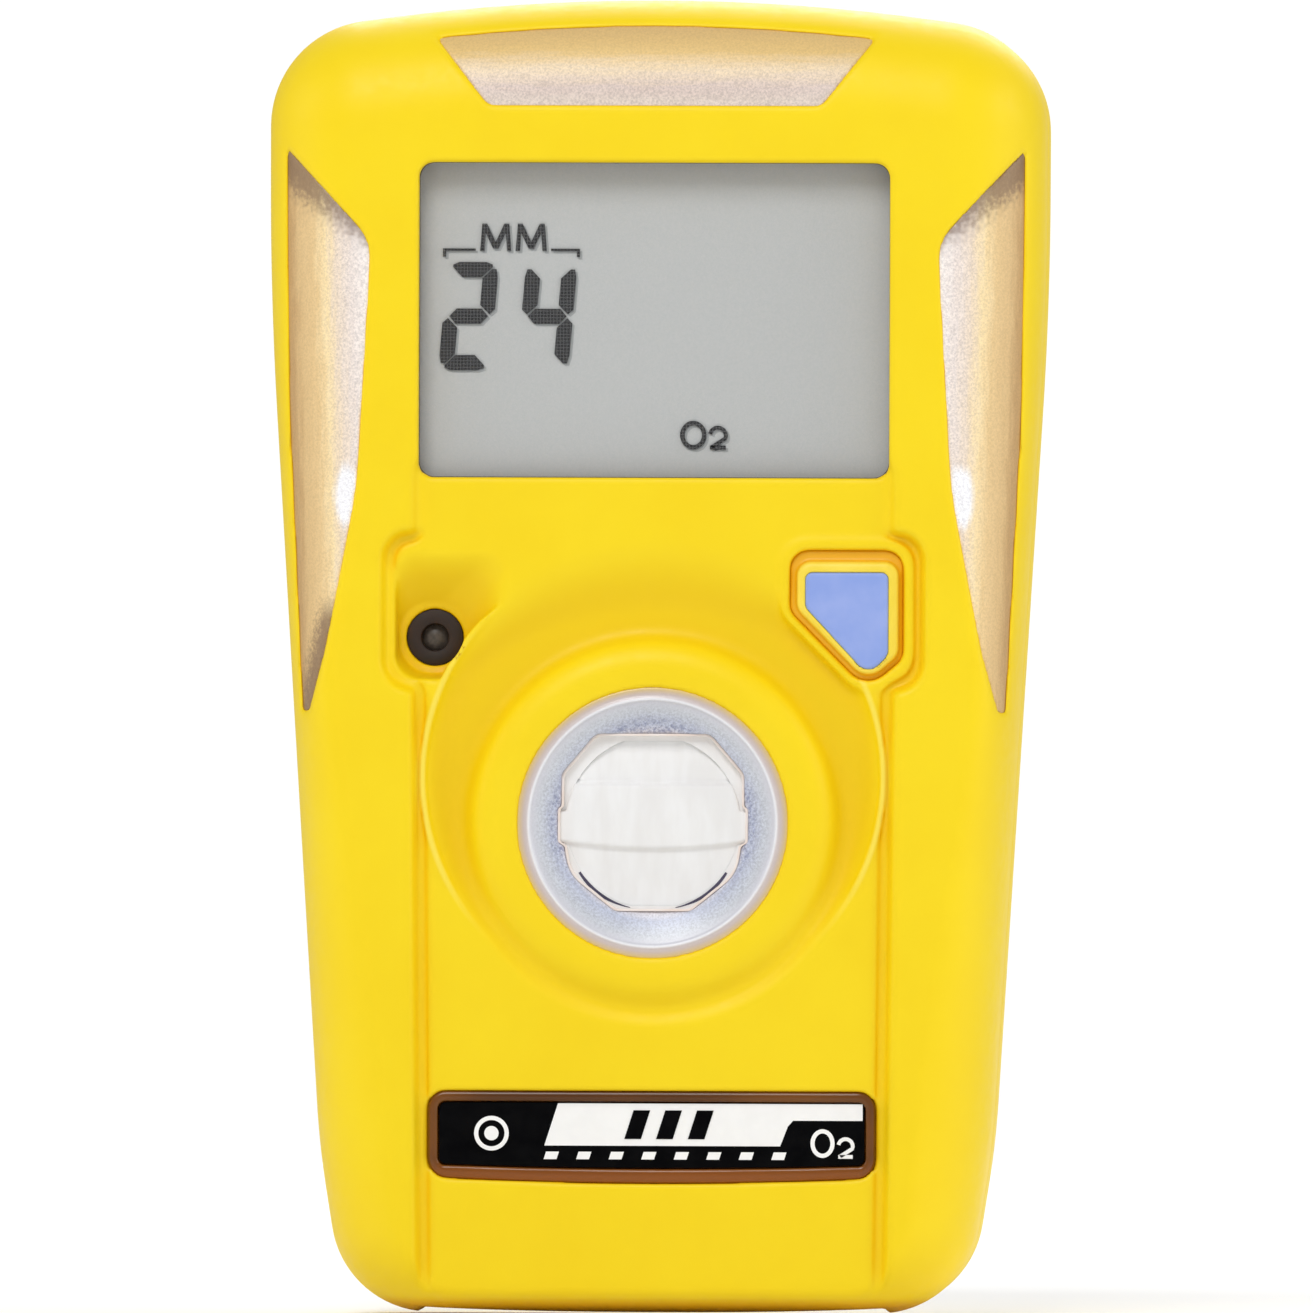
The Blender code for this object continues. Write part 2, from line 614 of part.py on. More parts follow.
def vibration_motor():
    x, depth = MOTOR
    shaft_hole = 0.9 * MM
    can = (x, depth, 52 * MM), (x, depth, 66 * MM)
    motor = cylinder("vibration_motor", *can, 3.5 * MM, "bare_steel", sides=24)
    cut(motor, cylinder("shaft_bore", (x, depth, 64 * MM), (x, depth, 68 * MM), shaft_hole, sides=12))
    ends = (x, depth, 64.3 * MM), (x, depth, 72.2 * MM)
    shaft = cylinder("motor_shaft", *ends, 0.6 * MM, "bare_steel", sides=12)
    reach = 3.2 * MM
    arc = [math.pi * step / 12 for step in range(13)]
    half_disc = [(reach * math.cos(a), reach * math.sin(a)) for a in arc]
    half_disc += [(-1.6 * MM, -1.6 * MM), (1.6 * MM, -1.6 * MM)]
    weight_curve = flat_curve("motor_weight", half_disc, 4 * MM)
    weight = from_curve("motor_weight", weight_curve, (0, 0, 0), (x, at(depth), 69.3 * MM), "bare_steel")
    cut(weight, cylinder("weight_bore", (x, depth, 60 * MM), (x, depth, 75 * MM), shaft_hole, sides=12))
    on_axis("motor_axis", x, depth, 66 * MM, [shaft, weight])


# ---------------------------------------------------------------- back clip

CLIP_SCREW_HEIGHTS = mm(38, 61)


def clip_ear(name, left, right, base_depth, half_width):
    """A steel lug that rises from a plate to the hinge pin, with a round end."""
    depth, z = PIN
    reach = half_width
    end = [(depth + reach * math.cos(a), z + reach * math.sin(a)) for a in half_turn(base_depth > depth)]
    outline = [(base_depth, end[0][1]), *end, (base_depth, end[-1][1])]
    return side_prism(name, outline, left, right)


def half_turn(backwards, steps=8):
    start = math.pi / 2 if backwards else -math.pi / 2
    return [start + math.pi * step / steps for step in range(steps + 1)]


def pin_hole(name):
    depth, z = PIN
    return cylinder(name, (-10 * MM, depth, z), (10 * MM, depth, z), PIN_HOLE, sides=16)


def clip_base():
    near, far = CLIP_PLATE
    plate = prism("clip_base", rectangle(*mm(-7.5, 7.5, 24, 66), 2.5 * MM), near, far, "bare_steel")
    for side, (left, right) in (("left", mm(-7.5, -6.5)), ("right", mm(6.5, 7.5))):
        join(plate, clip_ear(f"base_ear_{side}", left, right, near + 0.5 * MM, 2.9 * MM))
    cut(plate, pin_hole("base_pin_hole"))
    for index, z in enumerate(CLIP_SCREW_HEIGHTS):
        cut(plate, drilled(f"clip_base_hole_{index + 1}", (0, z), 26 * MM, 29 * MM, SCREW_HOLE, sides=16))
        machine_screw(f"clip_screw_{index + 1}", (0, z), 29.8 * MM, 2.3 * MM, 21.6 * MM)
    return plate


def strip(centreline, thickness):
    """The outline of a bent strip from its (depth, z) centreline."""
    front, back = [], []
    for index, point in enumerate(centreline):
        before = Vector(centreline[max(index - 1, 0)])
        after = Vector(centreline[min(index + 1, len(centreline) - 1)])
        along = (after - before).normalized()
        side = Vector((-along.y, along.x)) * thickness / 2
        front.append(tuple(Vector(point) + side))
        back.append(tuple(Vector(point) - side))
    return front + back[::-1]


def clip_lever():
    """A channel pressed from sheet: a curved arm with a finger pad, two lugs and an in-turned jaw."""
    centreline = [
        mm(*point) for point in (
            (40.5, 68.4), (40.1, 66), (39.3, 61), (38.4, 56), (37.4, 51), (36.0, 45),
            (34.0, 38.5), (31.9, 32.5), (30.3, 28.6), (29.2, 27.2), (28.75, 26.2), (28.6, 25.4),
        )
    ]
    lever = side_prism("clip_lever", strip(centreline, CLIP_STEEL), -7 * MM, 7 * MM, "bare_steel")
    plan = mirrored(corners_mm(
        (5.0, 25.2, 0.8), (5.0, 34, 6), (5.9, 44, 6), (5.9, 55.5, 3), (7, 59, 3), (7, 69.5, 2.2)
    ))
    keep_inside(lever, prism("lever_plan", rounded(plan), 24 * MM, 43 * MM))
    for side, (left, right) in (("left", mm(-5.7, -4.8)), ("right", mm(4.8, 5.7))):
        join(lever, clip_ear(f"lever_ear_{side}", left, right, 37.0 * MM, 2.7 * MM))
    cut(lever, pin_hole("lever_pin_hole"))
    return lever


def clip_pin():
    depth, z = PIN
    ends = (-8.1 * MM, depth, z), (8.1 * MM, depth, z)
    return cylinder("clip_pin", *ends, PIN_RADIUS, "bare_steel", sides=20)


def clip_spring():
    """A torsion spring round the pin, with one leg on the base and one under the lever."""
    depth, z = PIN
    coil, wire = 2.2 * MM, 0.4 * MM
    turns, points_a_turn, half_length = 4.5, 12, 3.2 * MM
    count = int(turns * points_a_turn)
    points = [(-half_length, 28.9 * MM, 57.5 * MM)]
    for step in range(count + 1):
        angle = math.pi + 2 * math.pi * step / points_a_turn
        x = half_length * (2 * step / count - 1)
        points.append((x, depth + coil * math.cos(angle), z + coil * math.sin(angle)))
    points.append((half_length, 37.2 * MM, 58 * MM))
    curve = bpy.data.curves.new("clip_spring", "CURVE")
    curve.dimensions = "3D"
    curve.bevel_depth = wire
    curve.bevel_resolution = 2
    curve.use_fill_caps = True
    spline = curve.splines.new("POLY")
    spline.points.add(len(points) - 1)
    for point, (x, along, height) in zip(spline.points, points):
        point.co = (x, at(along), height, 1)
    return from_curve("clip_spring", curve, slot="bare_steel")


def back_clip():
    clip_base()
    lever = clip_lever()
    clip_pin()
    clip_spring()
    on_axis("clip_axis", 0, *PIN, [lever])


def rear_label():
    prism("rear_label", rectangle(*mm(-14, 14, 9, 20), 1.0 * MM), 26.1 * MM, 26.4 * MM, "blank_label")


# ---------------------------------------------------------------- assembly

clear_scene()
PARTS = new_collection("portable_gas_detector")
HELPERS = new_collection("helpers")
front_shell()
rear_shell()
shell_gasket()
housing_screws()
alarm_windows()
display()
circuit_board()
alarm_lamps()
infrared_port()
button()
switch()
gas_sensor()
buzzer()
battery()
vibration_motor()
back_clip()
rear_label()
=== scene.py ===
"""The looks of a portable gas detector: finer mouldings, windows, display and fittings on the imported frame.

Outlines are (x, z) in millimetres, seen from the front, and depths are millimetres behind the front plane.
The two mouldings and the other soft-edged pieces are sampled as fields of distances, so every edge between
two shapes is rounded over, and then skinned.
"""

import math
from contextlib import contextmanager
from itertools import product

import bmesh
import bpy
import numpy as np
from mathutils import Matrix, Vector


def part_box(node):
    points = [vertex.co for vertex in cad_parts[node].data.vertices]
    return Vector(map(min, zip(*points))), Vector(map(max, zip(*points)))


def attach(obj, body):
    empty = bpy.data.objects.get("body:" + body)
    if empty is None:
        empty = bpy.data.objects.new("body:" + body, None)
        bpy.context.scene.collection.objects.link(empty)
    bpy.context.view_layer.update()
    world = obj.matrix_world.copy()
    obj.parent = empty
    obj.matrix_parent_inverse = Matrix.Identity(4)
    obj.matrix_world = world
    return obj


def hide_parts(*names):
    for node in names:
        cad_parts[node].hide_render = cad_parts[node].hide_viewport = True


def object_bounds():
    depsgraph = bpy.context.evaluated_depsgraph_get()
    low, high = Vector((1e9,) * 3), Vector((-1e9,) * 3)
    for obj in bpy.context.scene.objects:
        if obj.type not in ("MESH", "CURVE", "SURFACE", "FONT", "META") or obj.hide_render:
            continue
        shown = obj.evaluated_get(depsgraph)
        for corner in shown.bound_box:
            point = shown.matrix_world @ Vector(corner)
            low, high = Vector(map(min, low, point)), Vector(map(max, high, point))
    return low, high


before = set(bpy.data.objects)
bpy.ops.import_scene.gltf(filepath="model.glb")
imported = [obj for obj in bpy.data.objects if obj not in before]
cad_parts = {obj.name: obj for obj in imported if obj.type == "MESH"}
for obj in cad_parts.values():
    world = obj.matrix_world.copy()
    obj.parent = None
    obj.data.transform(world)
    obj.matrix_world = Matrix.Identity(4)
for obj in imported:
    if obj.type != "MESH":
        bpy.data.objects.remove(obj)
CAD_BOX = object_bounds()

MM = 0.001
FRONT_Y = CAD_BOX[0].y / MM
HEIGHT = CAD_BOX[1].z / MM

# Depths
FRONT_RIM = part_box("front_shell")[1].y / MM - FRONT_Y
REAR_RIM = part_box("rear_shell")[0].y / MM - FRONT_Y
BODY_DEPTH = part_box("rear_shell")[1].y / MM - FRONT_Y
PANEL_DEPTH = 0.7
WALL = 2.1
SHOULDER_DEPTH = 7
BACK_EDGE = 4

# Places
SENSOR = (0, 32.5)
BOSS = 12.35
BOWL = (0, 35.5)
BOWL_RIM = 15.2
PORT = 8.9
PORT_DISC = 5.8
BUZZER = (-14.52, 44.72)
BUZZER_HOLE = 1.87
SCREWS = ((-20.6, 80.9), (20.6, 80.9), (-16.3, 5.4), (16.3, 5.4))
SCREW_PILOT = 1.1
SCREW_POST = 2.8
CLIP_SCREWS = (38, 61)
DISPLAY_X = 15.55
DISPLAY_Z = (55.38, 76.13)

# Light: the studio's even white, as it falls on things and as it is seen behind them
AMBIENT = 0.37
BACKDROP = 1.02

# Sampling
CELL = 0.235
FINE_CELL = 0.13
MOST_TRIANGLES = 185000


# -------- outlines


def mirrored(*half):
    """Corners of a symmetric outline from its right half, which runs up from the bottom."""
    return list(half) + [(-x, z, radius) for x, z, radius in reversed(half) if x]


def rounded(corners, steps=10):
    """Points round an outline of (x, z, radius) corners, in millimetres."""
    points = []
    for index, (x, z, radius) in enumerate(corners):
        here = Vector((x, z))
        back = (Vector(corners[index - 1][:2]) - here).normalized()
        ahead = (Vector(corners[(index + 1) % len(corners)][:2]) - here).normalized()
        half_angle = back.angle(ahead) / 2
        if not radius:
            points.append((x, z))
            continue
        centre = here + (back + ahead).normalized() * radius / math.sin(half_angle)
        start = here + back * radius / math.tan(half_angle) - centre
        end = here + ahead * radius / math.tan(half_angle) - centre
        turn = math.pi - 2 * half_angle
        if start.x * end.y < start.y * end.x:
            turn = -turn
        for step in range(steps + 1):
            cos, sin = math.cos(turn * step / steps), math.sin(turn * step / steps)
            points.append((centre.x + start.x * cos - start.y * sin,
                           centre.y + start.x * sin + start.y * cos))
    return points


def rectangle(x0, x1, z0, z1, radius=0.0):
    return rounded([(x0, z0, radius), (x1, z0, radius), (x1, z1, radius), (x0, z1, radius)])


def flipped(outline):
    return [(-x, z) for x, z in reversed(outline)]


BODY = rounded(mirrored(
    (20.5, 0, 6.6), (22.25, 11, 60), (25.68, 67, 250), (25.72, HEIGHT - 2.27, 7), (0, HEIGHT + 1.25, 134)
), 16)
TOP_WINDOW = rounded(mirrored((11.0, 79.94, 0.9), (14.4, 84.3, 0), (0, 85.75, 125)))
RIGHT_WINDOW = rounded([
    (23.1, 38.8, 0.2), (24.15, 60, 60), (24.32, 76.9, 0), (18.8, 70.95, 3.2), (19.7, 54.5, 30),
    (21.75, 43.8, 8),
])
PANEL = rounded(mirrored(
    (15.4, -2, 0), (15.85, 41.2, 0.4), (17.85, 41.8, 1.9), (17.85, 51.3, 1.9), (15.9, 51.8, 0.4),
    (15.9, 56.4, 0.8),
))
BUTTON_HOLE = rounded([
    (14.1, 41.4, 1.6), (16.5, 43.4, 1.2), (16.5, 50.55, 1.2), (9.05, 50.55, 1.2), (9.05, 46.5, 1.2)
])
BUTTON_PAD = rounded([
    (14.15, 41.95, 1.3), (16.15, 43.7, 1.0), (16.15, 49.75, 0.9), (9.55, 49.75, 0.9), (9.55, 46.7, 1.0)
])
BUTTON_FACE = rounded([
    (14.2, 42.35, 0.9), (15.5, 43.65, 0.8), (15.5, 49.05, 0.4), (10.1, 49.05, 0.4), (10.1, 46.8, 0.6)
])
LABEL_FRAME = rounded(mirrored((0, 8.4, 280), (14.8, 9.05, 1.35), (14.8, 14.76, 1.2)))
LABEL_TRAY = rounded(mirrored((0, 9.36, 400), (14.15, 9.85, 0.5), (14.15, 14.06, 0.5)))
LABEL_PLATE = rounded(mirrored((0, 9.46, 400), (14.05, 9.95, 0.45), (14.05, 13.98, 0.45)))
PORT_OPENING = rounded(mirrored(
    (2.5, 26.65, 0.8), (5.55, 29.1, 2.6), (5.85, 30.95, 0.3), (6.3, 31.2, 0.25), (6.3, 33.4, 0.25),
    (6.05, 33.6, 0.3), (6.05, 35.75, 0.8), (3.8, 38.4, 0.9)
))


# -------- fields of distances


class Grid:
    """Sample points in a box: across (x), behind the front plane (d) and up (z), in millimetres."""

    def __init__(self, x, d, z, cell=CELL, near=None, coarse=None):
        """near and coarse: beyond the depth near, samples are coarse apart."""
        def spaced(start, end, gap):
            return np.linspace(start, end, max(int(round((end - start) / gap)), 2) + 1)

        depths = spaced(*d, cell) if near is None else np.concatenate(
            [spaced(d[0], near, cell), spaced(near, d[1], coarse)[1:]])
        self.axes = [spaced(*x, cell), depths, spaced(*z, cell)]
        self.x = self.axes[0][:, None, None]
        self.d = self.axes[1][None, :, None]
        self.z = self.axes[2][None, None, :]

    def outline(self, points):
        """Distance to a closed outline, negative inside it."""
        x, z = self.x[:, 0], self.z[0]
        nearest = np.full(np.broadcast(x, z).shape, np.inf)
        inside = np.zeros(nearest.shape, bool)
        for (x0, z0), (x1, z1) in zip(points, points[1:] + points[:1]):
            dx, dz = x1 - x0, z1 - z0
            along = np.clip(((x - x0) * dx + (z - z0) * dz) / max(dx * dx + dz * dz, 1e-12), 0, 1)
            nearest = np.minimum(nearest, (x - x0 - along * dx) ** 2 + (z - z0 - along * dz) ** 2)
            if dz:
                inside ^= ((z0 > z) != (z1 > z)) & (x < x0 + (z - z0) * dx / dz)
        return (np.where(inside, -1, 1) * np.sqrt(nearest))[:, None, :]

    def radius(self, centre):
        return np.hypot(self.x - centre[0], self.z - centre[1])

    def slab(self, near, far):
        return np.abs(self.d - (near + far) / 2) - (far - near) / 2

    def between(self, plan, near, far):
        """A plan seen from the front, kept between two depths."""
        return np.maximum(plan, self.slab(near, far))

    def disc(self, centre, radius, near, far):
        """A plain cylinder along the depth."""
        return self.between(self.radius(centre) - radius, near, far)

    def block(self, low, high, radius=0.0):
        """A box with rounded corners seen from the front. Its corners may change with the depth."""
        across = np.abs(self.x - (low[0] + high[0]) / 2) - (high[0] - low[0]) / 2 + radius
        up = np.abs(self.z - (low[1] + high[1]) / 2) - (high[1] - low[1]) / 2 + radius
        beyond = np.hypot(np.maximum(across, 0), np.maximum(up, 0))
        return beyond + np.minimum(np.maximum(across, up), 0) - radius


def smooth_max(a, b, radius):
    """Where both fields are negative, with the edge between them rounded."""
    near = np.maximum(radius - np.abs(a - b), 0) / radius
    return np.maximum(a, b) + near * near * radius / 4


def join(a, b, radius):
    return -smooth_max(-a, -b, radius)


def cut(a, b, radius):
    return smooth_max(a, -b, radius)


def smoothstep(value, start, end):
    t = np.clip((value - start) / (end - start), 0, 1)
    return t * t * (3 - 2 * t)


def shoulder_width(grid):
    """How far the front's rounded shoulder reaches in from the outline."""
    heights = [0, 12, 36, 42, 49, 57, 72, 87]
    widths = [5.7, 5.7, 3.4, 3.0, 4.6, 6.2, 6.7, 7.0]
    under_the_foot = 2.4
    side = np.mean([np.interp(grid.z + shift, heights, widths) for shift in range(-3, 4)], axis=0)
    at_the_foot = (1 - smoothstep(np.abs(grid.x), 13, 19)) * (grid.z < HEIGHT / 2)
    return side + (under_the_foot - side) * at_the_foot


def front_form(grid):
    """The front half's outer form: the outline with an elliptical shoulder. Also good well inside it."""
    width = shoulder_width(grid)
    u = (grid.outline(BODY) + width) / width
    v = (SHOULDER_DEPTH - grid.d) / SHOULDER_DEPTH
    flat = np.maximum((u - 1) * width, (v - 1) * SHOULDER_DEPTH)
    tiny = 1e-6
    u, v = np.maximum(u, tiny), np.maximum(v, tiny)
    k = np.hypot(u, v)
    round_part = k * (k - 1) / np.hypot(u / width, v / SHOULDER_DEPTH)
    return np.where((u > tiny) & (v > tiny), round_part, flat)


def rear_form(grid):
    out = grid.outline(BODY) + BACK_EDGE
    back = grid.d - BODY_DEPTH + BACK_EDGE
    corner = np.hypot(np.maximum(out, 0), np.maximum(back, 0))
    return corner + np.minimum(np.maximum(out, back), 0) - BACK_EDGE


# -------- skins


def skin(grid, field):
    """Corners and quads of the surface where a field is zero: one corner in each cell that it crosses."""
    cell_shape = np.array(field.shape) - 1
    stride = np.array([cell_shape[1] * cell_shape[2], cell_shape[2], 1])
    quads, points = [], []
    for axis in range(3):
        low, high = [slice(None)] * 3, [slice(None)] * 3
        low[axis], high[axis] = slice(None, -1), slice(1, None)
        before, after = field[tuple(low)], field[tuple(high)]
        index = np.argwhere((before < 0) != (after < 0))
        before, after = before[tuple(index.T)], after[tuple(index.T)]
        point = np.stack([grid.axes[k][index[:, k]] for k in range(3)], 1)
        step = grid.axes[axis][index[:, axis] + 1] - point[:, axis]
        point[:, axis] += step * before / (before - after)
        round_edge = []
        for shift in ((0, 0), (-1, 0), (-1, -1), (0, -1)):
            cell = index.copy()
            cell[:, (axis + 1) % 3] += shift[0]
            cell[:, (axis + 2) % 3] += shift[1]
            round_edge.append(cell @ stride)
        quad = np.stack(round_edge, 1)
        # x, depth and z follow the world's axes, so quads turned this way face outwards.
        quad[before >= 0] = quad[before >= 0][:, ::-1]
        quads.append(quad)
        points.append(np.repeat(point, 4, axis=0))
    quads, points = np.concatenate(quads), np.concatenate(points)
    corner = np.unique(quads.ravel(), return_inverse=True)[1]
    count = np.bincount(corner)
    corners = np.stack([np.bincount(corner, points[:, k]) / count for k in range(3)], 1)
    return corners, corner.reshape(-1, 4)


def slopes(grid, field, points):
    """The field's direction of increase at each point."""
    parts, ends = [], []
    for k in range(3):
        index = np.clip(np.searchsorted(grid.axes[k], points[:, k]) - 1, 0, len(grid.axes[k]) - 2)
        gap = grid.axes[k][index + 1] - grid.axes[k][index]
        share = (points[:, k] - grid.axes[k][index]) / gap
        ends.append(((index, 1 - share), (index + 1, share)))
    for gradient in np.gradient(field, *grid.axes):
        total = np.zeros(len(points))
        for (i, wi), (j, wj), (k, wk) in product(*ends):
            total += gradient[i, j, k] * wi * wj * wk
        parts.append(total)
    direction = np.stack(parts, 1)
    return direction / np.maximum(np.linalg.norm(direction, axis=1, keepdims=True), 1e-9)


def moulded(name, node, grid, field, finish, most=MOST_TRIANGLES, body="housing"):
    """A piece skinned from a field in place of a CAD node, thinned where it is flat. The field shades it."""
    field = np.ascontiguousarray(np.broadcast_to(field, [len(axis) for axis in grid.axes]))
    corners, quads = skin(grid, field)
    mesh = bpy.data.meshes.new(name)
    mesh.from_pydata(corners, [], quads)
    piece = new_piece(name, mesh, finish, body)
    if 2 * len(quads) > most:
        thin = piece.modifiers.new("thin", "DECIMATE")
        thin.ratio = most / (2 * len(quads))
        bake_modifiers(piece)
    mesh = piece.data
    points = np.empty(len(mesh.vertices) * 3)
    mesh.vertices.foreach_get("co", points)
    points = points.reshape(-1, 3)
    normals = slopes(grid, field, points)
    mesh.vertices.foreach_set("co", to_world(points).ravel())
    mesh.shade_smooth()
    mesh.normals_split_custom_set_from_vertices(normals)
    mesh.update()
    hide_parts(node)


def to_world(points):
    """Millimetres across, deep and up to metres in the frame."""
    return (points + np.array([0, FRONT_Y, 0])) * MM


# -------- pieces


def new_object(name, data):
    made = bpy.data.objects.new(name, data)
    bpy.context.scene.collection.objects.link(made)
    return made


def new_piece(name, mesh, finish, body="housing"):
    """finish is (material, the record's slot)."""
    piece = new_object(name, mesh)
    piece.data.materials.clear()
    piece.data.materials.append(finish[0])
    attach(piece, body)
    return piece


@contextmanager
def edited(mesh):
    """The mesh as a bmesh, which is written back at the end."""
    shape = bmesh.new()
    shape.from_mesh(mesh)
    yield shape
    shape.to_mesh(mesh)
    shape.free()


def mesh_of(curve):
    """A curve's surface as a mesh."""
    maker = bpy.data.objects.new(curve.name, curve)
    mesh = bpy.data.meshes.new_from_object(maker)
    bpy.data.objects.remove(maker)
    return mesh


def bake_modifiers(piece):
    """Replaces a piece's mesh with what its modifiers make of it."""
    bpy.context.view_layer.update()
    made = bpy.data.meshes.new_from_object(piece.evaluated_get(bpy.context.evaluated_depsgraph_get()))
    piece.modifiers.clear()
    piece.data = made


def flat_art(name, outlines, near, far, finish, bevel=0.0):
    """Outlines with any holes, extruded between two depths."""
    curve = bpy.data.curves.new(name, "CURVE")
    curve.dimensions = "2D"
    curve.fill_mode = "BOTH"
    curve.extrude = (far - near) / 2 - bevel
    curve.bevel_depth = bevel
    curve.bevel_resolution = 2
    curve.offset = -bevel
    for outline in outlines:
        spline = curve.splines.new("POLY")
        spline.points.add(len(outline) - 1)
        for point, (x, z) in zip(spline.points, outline):
            point.co = (x, z, 0, 1)
        spline.use_cyclic_u = True
    mesh = mesh_of(curve)
    middle = (near + far) / 2 + FRONT_Y
    mesh.transform(Matrix(((MM, 0, 0, 0), (0, 0, -MM, middle * MM), (0, MM, 0, 0), (0, 0, 0, 1))))
    weld(mesh)
    return new_piece(name, mesh, finish)


def weld(mesh, gap=0.0002 * MM):
    """Joins corners that lie together, and turns the faces outwards."""
    with edited(mesh) as shape:
        bmesh.ops.remove_doubles(shape, verts=shape.verts, dist=gap)
        bmesh.ops.recalc_face_normals(shape, faces=shape.faces)


def smooth(mesh, angle=35):
    """Smooth shading, with edges sharper than an angle in degrees kept crisp."""
    mesh.shade_smooth()
    with edited(mesh) as shape:
        for edge in shape.edges:
            edge.smooth = edge.calc_face_angle(0) < math.radians(angle)


def turned(name, centre, profile, finish, steps=96):
    """A profile of (radius, depth) turned about an axis along the depth, closed where it meets the axis."""
    mesh = bpy.data.meshes.new(name)
    with edited(mesh) as shape:
        circles = []
        for radius, depth in profile:
            circle = []
            for step in range(steps if radius else 1):
                angle = math.tau * step / steps
                x, z = centre[0] + radius * math.cos(angle), centre[1] + radius * math.sin(angle)
                circle.append(shape.verts.new(to_world(np.array([x, depth, z]))))
            circles.append(circle)
        for one, two in zip(circles, circles[1:] + circles[:1]):
            if len(one) == len(two) == 1:
                continue
            for step in range(steps):
                corners = [one[step % len(one)], one[(step + 1) % len(one)],
                           two[(step + 1) % len(two)], two[step % len(two)]]
                shape.faces.new(list(dict.fromkeys(corners)))
        bmesh.ops.recalc_face_normals(shape, faces=shape.faces)
    smooth(mesh)
    return new_piece(name, mesh, finish)


def refined(name, node, finish, bevel, body="housing"):
    """A CAD node's shape with its edges rounded."""
    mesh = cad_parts[node].data.copy()
    with edited(mesh) as shape:
        bmesh.ops.remove_doubles(shape, verts=shape.verts, dist=0.001 * MM)
        bmesh.ops.dissolve_limit(shape, angle_limit=math.radians(1), verts=shape.verts, edges=shape.edges)
    piece = new_piece(name, mesh, finish, body)
    edges = piece.modifiers.new("edges", "BEVEL")
    edges.width = bevel * MM
    edges.segments = 3
    edges.limit_method = "ANGLE"
    edges.angle_limit = math.radians(40)
    edges.use_clamp_overlap = True
    bake_modifiers(piece)
    smooth(piece.data, 30)
    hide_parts(node)
    return piece


# -------- materials


class Finish:
    """A node material, built up from noise, gradients and mixes into one Principled shader."""

    def __init__(self, name, roughness=0.5, **sockets):
        self.material = bpy.data.materials.new(name)
        self.material.use_nodes = True
        self.tree = self.material.node_tree
        self.shader = self.tree.nodes["Principled BSDF"]
        self.shader.inputs["Roughness"].default_value = roughness
        for socket, value in sockets.items():
            self.shader.inputs[socket.replace("_", " ")].default_value = value
        self.place = self.node("ShaderNodeTexCoord").outputs["Object"]

    def node(self, kind, inputs=None, **settings):
        made = self.tree.nodes.new(kind)
        for key, value in settings.items():
            setattr(made, key, value)
        for key, value in (inputs or {}).items():
            if isinstance(value, bpy.types.NodeSocket):
                self.tree.links.new(value, made.inputs[key])
            else:
                made.inputs[key].default_value = value
        return made

    def noise(self, size, detail=3.0, stretch=(1, 1, 1), roughness=0.55):
        """Noise with features about size millimetres across, more where stretch is less than 1."""
        place = self.node("ShaderNodeMapping", {"Vector": self.place, "Scale": stretch}).outputs[0]
        scale = 1 / (size * MM)
        return self.node("ShaderNodeTexNoise", {
            "Vector": place, "Scale": scale, "Detail": detail, "Roughness": roughness}).outputs["Fac"]

    def span(self, value, low, high, out_low=0.0, out_high=1.0):
        return self.node("ShaderNodeMapRange", {
            "Value": value, "From Min": low, "From Max": high, "To Min": out_low, "To Max": out_high,
        }, interpolation_type="SMOOTHSTEP").outputs["Result"]

    def math(self, operation, a, b=0.0, c=0.0):
        return self.node("ShaderNodeMath", {0: a, 1: b, 2: c}, operation=operation).outputs[0]

    def times(self, a, b):
        return self.math("MULTIPLY", a, b)

    def plus(self, a, b):
        return self.math("ADD", a, b)

    def minus(self, a, b):
        return self.math("SUBTRACT", a, b)

    def scaled(self, value, scale, shift):
        return self.math("MULTIPLY_ADD", value, scale, shift)

    def size(self, value):
        return self.math("ABSOLUTE", value)

    def radius(self, x, up):
        return self.math("POWER", self.plus(self.times(x, x), self.times(up, up)), 0.5)

    def mix(self, fac, a, b, blend="MIX"):
        a, b = [(*tone, 1) if isinstance(tone, tuple) else tone for tone in (a, b)]
        return self.node("ShaderNodeMix", {0: fac, 6: a, 7: b}, data_type="RGBA", blend_type=blend).outputs[2]

    def mottled(self, noise, low, high, start=0.3, end=0.7):
        """Two tones mixed by noise."""
        return self.mix(self.span(noise, start, end), low, high)

    def axes(self):
        """x, y and z in millimetres."""
        place = self.node("ShaderNodeVectorMath", {0: self.place, 1: (1 / MM,) * 3}, operation="MULTIPLY")
        return self.node("ShaderNodeSeparateXYZ", {0: place.outputs[0]}).outputs

    def ramp(self, value, stops):
        made = self.node("ShaderNodeValToRGB", {"Fac": value})
        elements = made.color_ramp.elements
        while len(elements) < len(stops):
            elements.new(0.5)
        for element, (position, colour) in zip(elements, stops):
            element.position = position
            element.color = (*colour, 1)
        return made.outputs["Color"]

    def feed(self, socket, value):
        self.tree.links.new(value, self.shader.inputs[socket])

    def colour(self, value):
        self.feed("Base Color", value)

    def rough(self, value, low, high):
        self.feed("Roughness", self.span(value, 0.25, 0.75, low, high))

    def bump(self, height, depth):
        """Relief of a depth in millimetres."""
        made = self.node("ShaderNodeBump", {"Height": height, "Strength": 1.0, "Distance": depth * MM})
        self.feed("Normal", made.outputs["Normal"])

    def crevice_shade(self, colour, dark, reach=0.6, low=0.35, high=0.95):
        """Painted shade in narrow places, from ambient occlusion."""
        shade = self.node("ShaderNodeAmbientOcclusion", {"Distance": reach * MM}, samples=6)
        return self.mix(self.span(shade.outputs["AO"], low, high), dark, colour)


